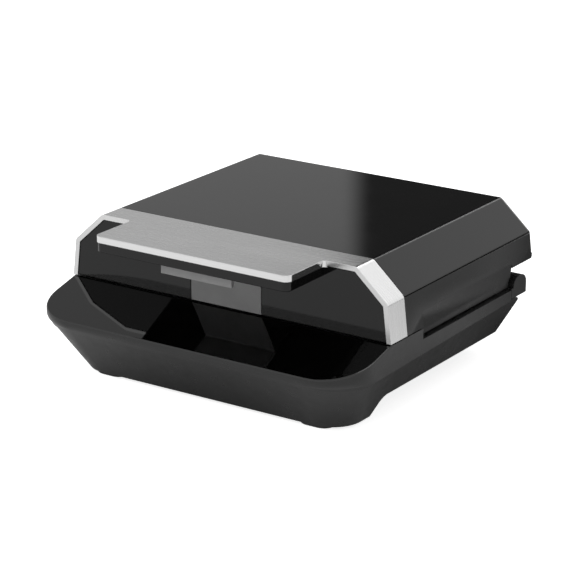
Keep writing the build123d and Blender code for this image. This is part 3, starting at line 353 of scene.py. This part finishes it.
def upright_sheet(name, away, left, right):
    """Sheet that stands behind the object, square to the camera's heading."""
    foot = ahead * away
    low = Vector((0, 0, CARD_LOW))
    high = Vector((0, 0, CARD_HIGH))
    return sheet_object(name, [foot + across * left + low, foot + across * right + low,
                               foot + across * right + high, foot + across * left + high])


def reflections_only(made):
    """Hide a sheet from everything but reflections."""
    made.visible_camera = False
    made.visible_diffuse = False
    made.visible_shadow = False


print("sheets are", round(CARD_HIGH - CARD_LOW, 2), "m high")

# %% Card with two tones
CARD_AWAY = 1.4
CARD_HALF = 1.1
CARD_STEP = {"start": 0.07, "end": 0.11, "low": 0.47, "high": 0.055}

card = upright_sheet("card", CARD_AWAY, -CARD_HALF, CARD_HALF)
two_tone, tree = new_material("card_two_tone")
place = node(tree, "ShaderNodeTexCoord").outputs["Object"]
step = mapped(tree, gauge(tree, "DOT_PRODUCT", place, across), **CARD_STEP)
shine = node(tree, "ShaderNodeEmission", Color=step).outputs[0]
node(tree, "ShaderNodeOutputMaterial", Surface=shine)
card.data.materials.append(two_tone)
reflections_only(card)
print("card", 2 * CARD_HALF, "m wide, its step", mm(CARD_STEP["end"] - CARD_STEP["start"]), "mm")

# %% [markdown]
# ## Strip light
# A narrow light at the card's edge is too small to change the flat faces. The rounded edges of the
# lid turn through every direction, so each of them finds the strip and draws it as a thin bright line.

# %% Strip light
STRIP_IN_FRONT = 0.05
STRIP_LEFT = 0.76
STRIP_RIGHT = 1.12
STRIP_GLOW = 3.0

strip = upright_sheet("strip", CARD_AWAY - STRIP_IN_FRONT, STRIP_LEFT, STRIP_RIGHT)
lit, tree = new_material("strip_lit")
shine = node(tree, "ShaderNodeEmission", Color=1.0, Strength=STRIP_GLOW).outputs[0]
node(tree, "ShaderNodeOutputMaterial", Surface=shine)
strip.data.materials.append(lit)
reflections_only(strip)
print("strip", round(STRIP_RIGHT - STRIP_LEFT, 2), "m wide")

# %% [markdown]
# ## Finishes
# No moulded or rolled surface is the same everywhere: its colour, its polish and its relief all vary
# a little, each at its own scale. They could be painted on as pictures. Noise on the surface's own
# coordinates was chosen, because it needs no unwrapping and stays put when a piece moves. Each finish
# starts as a recipe, and helpers turn a noise into a tint, a polish or a relief.

# %% A recipe starts here
FINISHES = {}
EDGE = 0.0004


def recipe(name, metallic=0.0, specular=0.5):
    """New finish with a Principled shader and Object coordinates."""
    made, tree = new_material(name)
    shader = node(tree, "ShaderNodeBsdfPrincipled", Metallic=metallic, Specular_IOR_Level=specular)
    node(tree, "ShaderNodeOutputMaterial", Surface=shader.outputs[0])
    FINISHES[name] = made
    return tree, shader, node(tree, "ShaderNodeTexCoord").outputs["Object"]


def noise(tree, place, scale, detail, rough=0.55):
    """Noise of a given scale, per metre."""
    return node(tree, "ShaderNodeTexNoise", Vector=place, Scale=scale, Detail=detail,
                Roughness=rough).outputs["Fac"]


def spread(tree, value, low, high, start=0.3, end=0.7):
    """Map a noise value to a range."""
    return mapped(tree, value, start, end, low, high, "LINEAR")


def shade(tree, value, low, high, start=0.3, end=0.7):
    """Map a noise value to a colour between two greys."""
    return blended(tree, spread(tree, value, 0.0, 1.0, start, end), low, high, kind="RGBA")


def dent(tree, shader, height, depth, strength, edge=EDGE):
    """Bump from a height, its depth in metres, over edges that catch light as rounded ones do."""
    rounded = node(tree, "ShaderNodeBevel", samples=4, Radius=edge).outputs[0]
    bump = node(tree, "ShaderNodeBump", Strength=strength, Distance=depth, Height=height, Normal=rounded)
    link(tree, bump.outputs[0], shader.inputs["Normal"])


print("recipes ready")

# %% An uneven finish
def uneven(name, tint, polish, relief=None, **base):
    """Finish whose tint, polish and relief each follow a noise of their own."""
    tree, shader, place = recipe(name, **base)
    colour = shade(tree, noise(tree, place, tint["scale"], tint["detail"]), tint["low"], tint["high"])
    link(tree, colour, shader.inputs["Base Color"])
    rough = spread(tree, noise(tree, place, polish["scale"], polish["detail"]), polish["low"], polish["high"])
    link(tree, rough, shader.inputs["Roughness"])
    if relief:
        height = noise(tree, place, relief["scale"], relief["detail"])
        dent(tree, shader, height, relief["depth"], relief["strength"], relief.get("edge", EDGE))
    print(name, len(tree.nodes), "nodes")


print("uneven finish ready")

# %% [markdown]
# ## Gloss black plastic
# The lid's top and the front panel are moulded in polished steel tools, so they are nearly mirrors.
# What keeps them from looking like glass is a long, shallow waviness from the cooling of the plastic,
# and a polish that is not the same everywhere.

# %% Gloss black
uneven("gloss_black_plastic",
       tint={"scale": 30, "detail": 2, "low": 0.0008, "high": 0.0016},
       polish={"scale": 55, "detail": 4, "low": 0.05, "high": 0.08},
       relief={"scale": 40, "detail": 1.5, "depth": 0.00002, "strength": 0.2, "edge": 0.001},
       specular=0.43)

# %% [markdown]
# ## Satin black and grey plastic
# The lid's lower frame and the tub are moulded in tools with a fine spark-eroded grain, which hides
# fingerprints. The grain could be modelled, but at nearly three grains a millimetre a bump does the
# same. The latch is the same kind of plastic in grey.

# %% Satin black and grey
uneven("satin_black_plastic",
       tint={"scale": 40, "detail": 3, "low": 0.009, "high": 0.013},
       polish={"scale": 120, "detail": 4, "low": 0.26, "high": 0.38},
       relief={"scale": 2600, "detail": 2, "depth": 0.00002, "strength": 0.35})
uneven("grey_plastic",
       tint={"scale": 60, "detail": 3, "low": 0.25, "high": 0.29},
       polish={"scale": 150, "detail": 3, "low": 0.33, "high": 0.45},
       relief={"scale": 2200, "detail": 2, "depth": 0.00003, "strength": 0.4})

# %% [markdown]
# ## The deck, polished on its ramp only
# The deck is one moulding with two finishes: its ramp is polished like the lid's top, and the walls
# round it are grained. Two materials on chosen faces would do it too, but the solid's faces would
# have to be found one by one. A plane is simpler: whatever lies above the ramp's own plane is ramp.

# %% Which side of a plane
RAMP_TILT = math.radians(14.2)
LID_FRONT = -0.0719
RAMP_TOP = 0.0581
ramp_normal = (0.0, -math.sin(RAMP_TILT), math.cos(RAMP_TILT))
ramp_reach = ramp_normal[1] * LID_FRONT + ramp_normal[2] * RAMP_TOP


def part_way(tree, place, normal, reach, width=0.0003):
    """0 below a plane and 1 above it, with a narrow step between."""
    return spread(tree, gauge(tree, "DOT_PRODUCT", place, normal), 0.0, 1.0, reach - width, reach)


print("ramp's plane lies", mm(ramp_reach), "mm from the middle of the footprint")

# %% Deck black
RAMP_SKIN = 0.0001

tree, shader, place = recipe("deck_black_plastic")
on_ramp = part_way(tree, place, ramp_normal, ramp_reach - RAMP_SKIN)
walls = shade(tree, noise(tree, place, scale=40, detail=3), low=0.010, high=0.014)
ramp = shade(tree, noise(tree, place, scale=30, detail=2), low=0.0006, high=0.0012)
link(tree, blended(tree, on_ramp, walls, ramp, kind="RGBA"), shader.inputs["Base Color"])
wall_polish = spread(tree, noise(tree, place, scale=120, detail=4), low=0.26, high=0.34)
ramp_polish = spread(tree, noise(tree, place, scale=55, detail=4), low=0.03, high=0.05)
link(tree, blended(tree, on_ramp, wall_polish, ramp_polish), shader.inputs["Roughness"])
dent(tree, shader, noise(tree, place, scale=40, detail=1.5), depth=0.00001, strength=0.2)
print("deck black", len(tree.nodes), "nodes")

# %% [markdown]
# ## Brushed steel
# The band's sheet is brushed before it is folded, so fine scratches run along it, and the light
# spreads across them. The bevelled rim of the handle is polished afterwards and stays bright. The
# scratches could be modelled one by one, but they are finer than a hair. A noise that is pulled out
# along them does it, with some anisotropy in the shader, and two planes keep it off the bright rim.

# %% Brushed steel
GRAIN_PULL = (1.0, 260.0, 1.0)
GRAIN = {"start": 0.35, "end": 0.65}
LID_TOP = 0.1067
FRONT_SKIN = 0.0002
TOP_SKIN = 0.0003

tree, shader, place = recipe("brushed_steel", metallic=1.0)
shader.inputs["Anisotropic"].default_value = 0.5
pulled = node(tree, "ShaderNodeMapping", Vector=place, Scale=GRAIN_PULL).outputs[0]
fine = noise(tree, pulled, scale=9, detail=5, rough=0.7)
behind = part_way(tree, place, (0.0, 1.0, 0.0), LID_FRONT - FRONT_SKIN)
above = part_way(tree, place, (0.0, 0.0, 1.0), LID_TOP - TOP_SKIN, width=0.0002)
brushed = calculate(tree, "MAXIMUM", behind, above)
grey = shade(tree, fine, low=0.72, high=0.80, **GRAIN)
bright = shade(tree, fine, low=0.84, high=0.88, **GRAIN)
link(tree, blended(tree, brushed, bright, grey, kind="RGBA"), shader.inputs["Base Color"])
brushing = spread(tree, fine, low=0.22, high=0.30, **GRAIN)
edge_polish = spread(tree, fine, low=0.09, high=0.11, **GRAIN)
link(tree, blended(tree, brushed, edge_polish, brushing), shader.inputs["Roughness"])
scratches = calculate(tree, "MULTIPLY", fine, brushed)
dent(tree, shader, scratches, depth=0.000015, strength=0.3, edge=0.0005)
print("brushed steel", len(tree.nodes), "nodes")

# %% [markdown]
# ## Non-stick coat
# The cooking plates are cast aluminium under a sprayed coat. The coat dries with a fine orange peel
# and a faint sparkle, so it gets a small share of metal and a relief at under a millimetre.

# %% Non-stick coat
uneven("nonstick_plate",
       tint={"scale": 900, "detail": 4, "low": 0.022, "high": 0.05},
       polish={"scale": 300, "detail": 4, "low": 0.28, "high": 0.42},
       relief={"scale": 1500, "detail": 3, "depth": 0.00004, "strength": 0.3},
       metallic=0.3)

# %% [markdown]
# ## The rest of the metals and plastics
# What is inside, underneath or small has the plainer finishes of bought parts: zinc, bright sheet, a
# heat-tinted sheath, rubber, a woven sleeve. Each could have a recipe of its own. They differ only in
# their tint, their polish and their scale, so two short tables hold them all.

# %% Bought metals
METALS = {  # darkest, lightest, smoothest, roughest, spots per metre
    "aluminium_sheet": (0.62, 0.75, 0.22, 0.35, 200),
    "heater_sheath": (0.16, 0.3, 0.4, 0.6, 120),
    "zinc_steel": (0.5, 0.62, 0.28, 0.42, 200),
    "spring_steel": (0.42, 0.55, 0.2, 0.3, 200),
    "thermostat_steel": (0.55, 0.68, 0.22, 0.34, 200),
}
for name, (dark, light, smooth, rough, spots) in METALS.items():
    uneven(name,
           tint={"scale": spots, "detail": 4, "low": dark, "high": light},
           polish={"scale": 2 * spots, "detail": 3, "low": smooth, "high": rough},
           metallic=1.0)

# %% Rubber, sleeves and ceramic
MATT_ONES = {  # darkest, lightest, smoothest, roughest, spots per metre
    "rubber": (0.05, 0.065, 0.65, 0.8, 300),
    "fuse_sleeve": (0.7, 0.82, 0.8, 0.9, 900),
    "ceramic": (0.74, 0.84, 0.5, 0.65, 150),
    "wire_insulation": (0.6, 0.7, 0.4, 0.5, 200),
    "black_nylon": (0.025, 0.035, 0.35, 0.5, 200),
}
for name, (dark, light, smooth, rough, spots) in MATT_ONES.items():
    uneven(name,
           tint={"scale": spots, "detail": 4, "low": dark, "high": light},
           polish={"scale": spots, "detail": 3, "low": smooth, "high": rough},
           relief={"scale": 5 * spots, "detail": 3, "depth": 0.00003, "strength": 0.4})

# %% [markdown]
# ## Every piece gets its finish
# The frame's record names a material slot for each piece, so the finishes can be given out in a loop.
# Two pieces take another than their slot says: the deck has its own two-part finish, and the trim
# inside the handle is as glossy as the lid.

# %% Give out the finishes
OWN_FINISH = {"base_deck": "deck_black_plastic", "handle_trim": "gloss_black_plastic"}

for part in frame["record"]["subparts"]:
    mesh = nodes[part["node"]].data
    mesh.materials.clear()
    mesh.materials.append(FINISHES[OWN_FINISH.get(part["node"], part["material_slot"])])
print("finishes", len(FINISHES))

# %% [markdown]
# ## Screws and feet, one tree each
# An appliance like this is held together by eighteen pan-head screws of a few lengths, and stands
# on four equal rubber feet. Such pieces could be modelled once and copied by hand, but a Geometry
# Nodes tree keeps their sizes as named inputs and puts a copy at every place it is given. The places
# are read from the solids that the copies take over, so each copy sits where its solid sat.

# %% Where the solids are
TOUCH = 1e-6


def islands(source):
    """Vertices of each separate solid in a node, as lists of places, from a merged copy."""
    work = bmesh.new()
    work.from_mesh(source.data)
    bmesh.ops.remove_doubles(work, verts=work.verts, dist=TOUCH)
    left = set(work.verts)
    found = []
    while left:
        edge = [left.pop()]
        group = []
        while edge:
            vertex = edge.pop()
            group.append(vertex.co.copy())
            fresh = [side.other_vert(vertex) for side in vertex.link_edges]
            edge += [other for other in fresh if other in left]
            left.difference_update(fresh)
        found.append(group)
    work.free()
    return found


print("screws under the base", len(islands(nodes["base_screws"])))

# %% Which way up they are
END_SHARE = 0.2


def widest(points, low, high):
    """Greatest distance from the solid's own upright axis, between two heights."""
    middle = sum((Vector((p.x, p.y, 0)) for p in points), Vector()) / len(points)
    return max((math.hypot(p.x - middle.x, p.y - middle.y) for p in points if low <= p.z <= high), default=0)


def measure(name):
    """Places, lowest and highest point, and which way up, of a node's solids."""
    groups = islands(nodes[name])
    low = min(p.z for p in groups[0])
    high = max(p.z for p in groups[0])
    middles = []
    for points in groups:
        xs = [p.x for p in points]
        ys = [p.y for p in points]
        middles.append(((min(xs) + max(xs)) / 2, (min(ys) + max(ys)) / 2))
    end = (high - low) * END_SHARE
    head_up = widest(groups[0], high - end, high) > widest(groups[0], low, low + end)
    return sorted(middles), low, high, head_up


print("feet at", [(round(x * 1000), round(y * 1000)) for x, y in measure("rubber_feet")[0]], "mm")

# %% Start of a tree
def new_tree(name, **sizes):
    """Geometry Nodes tree with Places, Finish and one named input for each size."""
    tree = bpy.data.node_groups.new(name, "GeometryNodeTree")
    face = tree.interface
    face.new_socket("Places", in_out="INPUT", socket_type="NodeSocketGeometry")
    for label, value in sizes.items():
        socket = face.new_socket(label.replace("_", " "), in_out="INPUT", socket_type="NodeSocketFloat")
        socket.default_value = value
    face.new_socket("Finish", in_out="INPUT", socket_type="NodeSocketMaterial")
    face.new_socket("Geometry", in_out="OUTPUT", socket_type="NodeSocketGeometry")
    return tree, node(tree, "NodeGroupInput").outputs


print("a tree starts with its inputs")

# %% End of a tree
def end_tree(tree, given, shape, turn=(0.0, 0.0, 0.0)):
    """Copy the shape to every place, make the copies real and give them their finish."""
    copies = node(tree, "GeometryNodeInstanceOnPoints", Points=given["Places"], Instance=shape,
                  Rotation=turn)
    real = node(tree, "GeometryNodeRealizeInstances", Geometry=copies.outputs[0])
    finish = node(tree, "GeometryNodeSetMaterial", Geometry=real.outputs[0], Material=given["Finish"])
    node(tree, "NodeGroupOutput", Geometry=finish.outputs[0])


def lifted(tree, shape, height):
    """Shape moved up by a height."""
    upward = node(tree, "ShaderNodeCombineXYZ", Z=height).outputs[0]
    return node(tree, "GeometryNodeTransform", Geometry=shape, Translation=upward).outputs[0]


print("a tree ends with Realize Instances and Set Material")

# %% Grow pieces from a tree
def grow(name, tree, places, finish, **sizes):
    """Run a tree on loose points and keep the result as a plain mesh object."""
    mesh = bpy.data.meshes.new(name + "_places")
    mesh.from_pydata(places, [], [])
    host = bpy.data.objects.new(name, mesh)
    scene.collection.objects.link(host)
    modifier = host.modifiers.new("tree", "NODES")
    modifier.node_group = tree
    values = {**sizes, "Finish": finish}
    for item in tree.interface.items_tree:
        key = item.name.replace(" ", "_")
        if item.in_out == "INPUT" and key in values:
            modifier[item.identifier] = values[key]
    graph = bpy.context.evaluated_depsgraph_get()
    result = bpy.data.meshes.new_from_object(host.evaluated_get(graph))
    host.modifiers.clear()
    host.data = result
    result.name = name
    result.materials.clear()
    result.materials.append(finish)
    for face in result.polygons:
        face.material_index = 0
    return host


print("ready to grow pieces")

# %% [markdown]
# ## The foot
# A moulded foot is a rounded pad with a soft lower edge and a shallow hollow in its sole, so that
# only a rim grips the worktop. It could be turned or lofted, but its outline isn't round. The tree
# fills a rounded outline and pulls it down in steps: each step extrudes the one face at the end, and
# shrinks it a little.

# %% The foot's sizes
FOOT = {"Length": 0.027, "Width": 0.020, "Corner": 0.009}
CORNER_POINTS = 7
FOOT_STEPS = {  # share of the height that is pulled down, and the size of the face after it
    "wall": (0.72, 1.0),
    "soft edge": (0.28, 0.93),
    "rim": (0.0, 0.80),
    "hollow": (-0.22, 0.97),
}
print("foot", mm(FOOT["Length"]), "x", mm(FOOT["Width"]), "mm, in", len(FOOT_STEPS), "steps")

# %% The foot's tree
def foot_tree(**sizes):
    """Tree of the rubber foot, its top at the place and its sole below."""
    tree, given = new_tree("rubber_foot", **sizes)
    outline = node(tree, "GeometryNodeCurvePrimitiveQuadrilateral", Width=given["Length"],
                   Height=given["Width"])
    rounding = node(tree, "GeometryNodeFilletCurve", mode="POLY", Count=CORNER_POINTS,
                    Curve=outline.outputs[0], Radius=given["Corner"])
    fill = node(tree, "GeometryNodeFillCurve", mode="NGONS", Curve=rounding.outputs[0])
    shape = node(tree, "GeometryNodeFlipFaces", Mesh=fill.outputs[0]).outputs[0]
    end_face = True
    for label, (share, size) in FOOT_STEPS.items():
        pulled = calculate(tree, "MULTIPLY", given["Height"], -share)
        down = node(tree, "ShaderNodeCombineXYZ", Z=pulled).outputs[0]
        pull = node(tree, "GeometryNodeExtrudeMesh", label=label, mode="FACES", Mesh=shape,
                    Selection=end_face, Offset=down, Offset_Scale=1.0, Individual=False)
        end_face = pull.outputs["Top"]
        shape = node(tree, "GeometryNodeScaleElements", label=label, domain="FACE",
                     Geometry=pull.outputs["Mesh"], Selection=end_face, Scale=size).outputs[0]
    cover = node(tree, "GeometryNodeJoinGeometry", Geometry=shape)
    link(tree, fill.outputs[0], cover.inputs[0])
    closed = node(tree, "GeometryNodeMergeByDistance", Geometry=cover.outputs[0], Distance=TOUCH)
    end_tree(tree, given, closed.outputs[0])
    return tree


print("foot's tree ready")

# %% Feet
foot_middles, foot_low, foot_high, _ = measure("rubber_feet")
foot_sizes = {**FOOT, "Height": foot_high - foot_low}
foot_places = [(x, y, foot_high) for x, y in foot_middles]
pad_tree = foot_tree(**foot_sizes)
feet = grow("moulded_feet", pad_tree, foot_places, FINISHES["rubber"], **foot_sizes)
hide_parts("rubber_feet")
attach(feet, "base")
print("feet", len(feet.data.vertices), "vertices,", mm(foot_sizes["Height"]), "mm high")

# %% [markdown]
# ## The screw's head
# A self-tapping screw has a pan head with a cross recess. The head is a low cone with a disc on it,
# and two crossed bars are cut out of it. In the tree the head's outer face is at height 0 and the
# point looks up.

# %% The screw's sizes
SCREW = {"Head_Radius": 0.003, "Head_Height": 0.002, "Shank_Radius": 0.0015, "Length": 0.0129,
         "Pitch": 0.001, "Thread_Depth": 0.0003, "Recess": 0.0036}
print("screw head", mm(2 * SCREW["Head_Radius"]), "mm wide, thread", mm(SCREW["Pitch"]), "mm a turn")

# %% Crown and brim
HEAD_SIDES = 28
CROWN_HEIGHT = 0.4
CROWN_RADIUS = 0.7
BRIM_HEIGHT = 0.6


def screw_head(tree, given):
    """Crown and brim of the head, as two shapes. Their sizes are shares of the head's."""
    radius = given["Head Radius"]
    height = given["Head Height"]
    crown = node(tree, "GeometryNodeMeshCone", fill_type="NGON", Vertices=HEAD_SIDES, Radius_Top=radius,
                 Radius_Bottom=calculate(tree, "MULTIPLY", radius, CROWN_RADIUS),
                 Depth=calculate(tree, "MULTIPLY", height, CROWN_HEIGHT))
    brim = node(tree, "GeometryNodeMeshCylinder", fill_type="NGON", Vertices=HEAD_SIDES, Radius=radius,
                Depth=calculate(tree, "MULTIPLY", height, BRIM_HEIGHT))
    brim_middle = calculate(tree, "MULTIPLY", height, CROWN_HEIGHT + BRIM_HEIGHT / 2)
    return crown.outputs["Mesh"], lifted(tree, brim.outputs["Mesh"], brim_middle)


print("crown", mm(CROWN_HEIGHT * SCREW["Head_Height"]), "mm high")

# %% Cross recess
BAR_WIDTH = 0.22


def cross_cut(tree, given, solid):
    """Cut two crossed bars out of the head."""
    recess = given["Recess"]
    narrow = calculate(tree, "MULTIPLY", recess, BAR_WIDTH)
    cut = node(tree, "GeometryNodeMeshBoolean", operation="DIFFERENCE", solver="EXACT", Mesh_1=solid)
    for width, depth in ((recess, narrow), (narrow, recess)):
        size = node(tree, "ShaderNodeCombineXYZ", X=width, Y=depth, Z=given["Head Height"])
        bar = node(tree, "GeometryNodeMeshCube", Size=size.outputs[0])
        link(tree, bar.outputs["Mesh"], cut.inputs["Mesh 2"])
    return cut.outputs["Mesh"]


print("cross", mm(SCREW["Recess"]), "mm wide")

# %% [markdown]
# ## The screw's thread
# A thread could be a swept spiral, but that leaves a seam at the shank. Here the shank is a fine
# cylinder whose rings are moved in and out by a rule: the radius follows the height less the angle,
# and that is a helix. The same rule draws the last ring in to a point.

# %% Plain shank
SHANK_SIDES = 14
SHANK_RINGS = 52
IN_HEAD = 0.5


def screw_shank(tree, given):
    """Plain shank, from inside the head to the point."""
    hidden = calculate(tree, "MULTIPLY", given["Head Height"], IN_HEAD)
    length = calculate(tree, "SUBTRACT", given["Length"], hidden)
    shank = node(tree, "GeometryNodeMeshCylinder", fill_type="NGON", Vertices=SHANK_SIDES,
                 Side_Segments=SHANK_RINGS, Radius=given["Shank Radius"], Depth=length)
    middle = calculate(tree, "SUBTRACT", given["Length"], calculate(tree, "MULTIPLY", length, 0.5))
    return lifted(tree, shank.outputs["Mesh"], middle)


print("shank", mm(2 * SCREW["Shank_Radius"]), "mm thick")

# %% Thread and point
BLUNT = 0.04


def threaded(tree, given, shank):
    """Shank whose points follow the thread's rule."""
    spot = node(tree, "GeometryNodeInputPosition").outputs[0]
    x, y, z = node(tree, "ShaderNodeSeparateXYZ", Vector=spot).outputs
    turns = calculate(tree, "DIVIDE", calculate(tree, "ARCTAN2", y, x), 2 * math.pi)
    phase = calculate(tree, "SUBTRACT", calculate(tree, "DIVIDE", z, given["Pitch"]), turns)
    cut_in = calculate(tree, "MULTIPLY", calculate(tree, "PINGPONG", phase, 0.5), given["Thread Depth"])
    groove = calculate(tree, "DIVIDE", cut_in, calculate(tree, "MULTIPLY", given["Shank Radius"], 0.5))
    to_go = calculate(tree, "SUBTRACT", given["Length"], z)
    to_point = calculate(tree, "DIVIDE", to_go, given["Shank Radius"])
    taper = calculate(tree, "MINIMUM", calculate(tree, "MAXIMUM", to_point, BLUNT), 1.0)
    radius = calculate(tree, "MULTIPLY", calculate(tree, "SUBTRACT", 1.0, groove), taper)
    moved = node(tree, "ShaderNodeCombineXYZ", X=calculate(tree, "MULTIPLY", x, radius),
                 Y=calculate(tree, "MULTIPLY", y, radius), Z=z)
    return node(tree, "GeometryNodeSetPosition", Geometry=shank, Position=moved.outputs[0]).outputs[0]


print("thread", mm(SCREW["Thread_Depth"]), "mm deep")

# %% [markdown]
# ## The screws
# Crown, brim and shank become one closed solid before the cross is cut. Screws that stand head down,
# such as those under the base, take the tree as it is. For those that are driven from above, the tree
# turns its copies over. A node's own solids say how long its screws are and which way up they stand.

# %% The screw's tree
def screw_tree(turned):
    """Tree of the whole screw, turned over if its head is up."""
    tree, given = new_tree("pan_head_screw", **SCREW)
    solid = node(tree, "GeometryNodeMeshBoolean", operation="UNION", solver="EXACT")
    for shape in (*screw_head(tree, given), threaded(tree, given, screw_shank(tree, given))):
        link(tree, shape, solid.inputs["Mesh 2"])
    turn = (math.pi if turned else 0.0, 0.0, 0.0)
    end_tree(tree, given, cross_cut(tree, given, solid.outputs["Mesh"]), turn)
    return tree


screw_trees = {turned: screw_tree(turned) for turned in (False, True)}
print("screw trees of", len(screw_trees[True].nodes), "nodes")

# %% Screws
SCREWS = {"base_screws": "base", "lower_plate_screws": "base", "lid_screws": "lid",
          "upper_plate_screws": "lid", "handle_screws": "lid"}

for name, body in SCREWS.items():
    middles, low, high, head_up = measure(name)
    places = [(x, y, high if head_up else low) for x, y in middles]
    screws = grow("pan_head_" + name, screw_trees[head_up], places, FINISHES["zinc_steel"],
                  Length=high - low)
    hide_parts(name)
    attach(screws, body)
    print(name, len(places), "screws", mm(high - low), "mm long", len(screws.data.polygons), "faces")

# %% [markdown]
# ## The line between cover and frame
# The glossy cover and the lower frame of the lid are two mouldings, and the line between them is one
# of the sharpest on the whole object. On the solids it is a third of a millimetre wide, too narrow
# to be seen. A merged copy of the frame has its top rim let down a little, which opens the line.

# %% Lid frame with an open line
LINE_DEPTH = 0.0009
RIM_SKIN = 0.0001


def merged_copy(name, source, sharp):
    """Object of its own from a CAD node's mesh, its triangles joined and smooth up to an angle."""
    mesh = nodes[source].data.copy()
    mesh.name = name
    work = bmesh.new()
    work.from_mesh(mesh)
    bmesh.ops.remove_doubles(work, verts=work.verts, dist=TOUCH)
    work.to_mesh(mesh)
    work.free()
    mesh.shade_smooth()
    mesh.set_sharp_from_angle(angle=math.radians(sharp))
    made = bpy.data.objects.new(name, mesh)
    scene.collection.objects.link(made)
    return made


frame_shell = merged_copy("lid_frame_shell", "lid_frame", sharp=25)
rim_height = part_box("lid_frame")[1].z
rim = [vertex for vertex in frame_shell.data.vertices if vertex.co.z > rim_height - RIM_SKIN]
for vertex in rim:
    vertex.co.z -= LINE_DEPTH
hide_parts("lid_frame")
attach(frame_shell, "lid")
print("rim points let down", len(rim))

# %% [markdown]
# ## The latch's spring
# A torsion spring sits round the latch pin, with one leg on the lever and one on the handle's trim.
# When the lever is pulled, only the leg on it moves. A solid spring can't do that. Here a merged copy
# of it takes the solid's place, with its placement applied to its points.

spring = merged_copy("bending_latch_spring", "latch_spring", sharp=50)
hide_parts("latch_spring")
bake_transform(spring)

# %% [markdown]
# ## Trees laid out for the editor
# Nodes that are made by a script all lie on one spot. That changes nothing in the picture, but nobody
# can read such a tree in the editor. One loop puts each node in a column left of the nodes it feeds.

# %% Lay the trees out
COLUMN = 220
ROW = 260


def lay_out(tree):
    """Put each node in a column left of the nodes that it feeds."""
    columns = {made.name: 0 for made in tree.nodes}
    for _ in tree.nodes:
        for wire in tree.links:
            beside = columns[wire.to_node.name] + 1
            columns[wire.from_node.name] = max(columns[wire.from_node.name], beside)
    filled = {}
    for made in tree.nodes:
        column = columns[made.name]
        filled[column] = filled.get(column, 0) + 1
        made.location = (-COLUMN * column, -ROW * filled[column])


materials = [paper, two_tone, lit, *FINISHES.values()]
trees = [world.node_tree, pad_tree, *screw_trees.values(), *(made.node_tree for made in materials)]
for tree in trees:
    lay_out(tree)
print("trees laid out", len(trees))
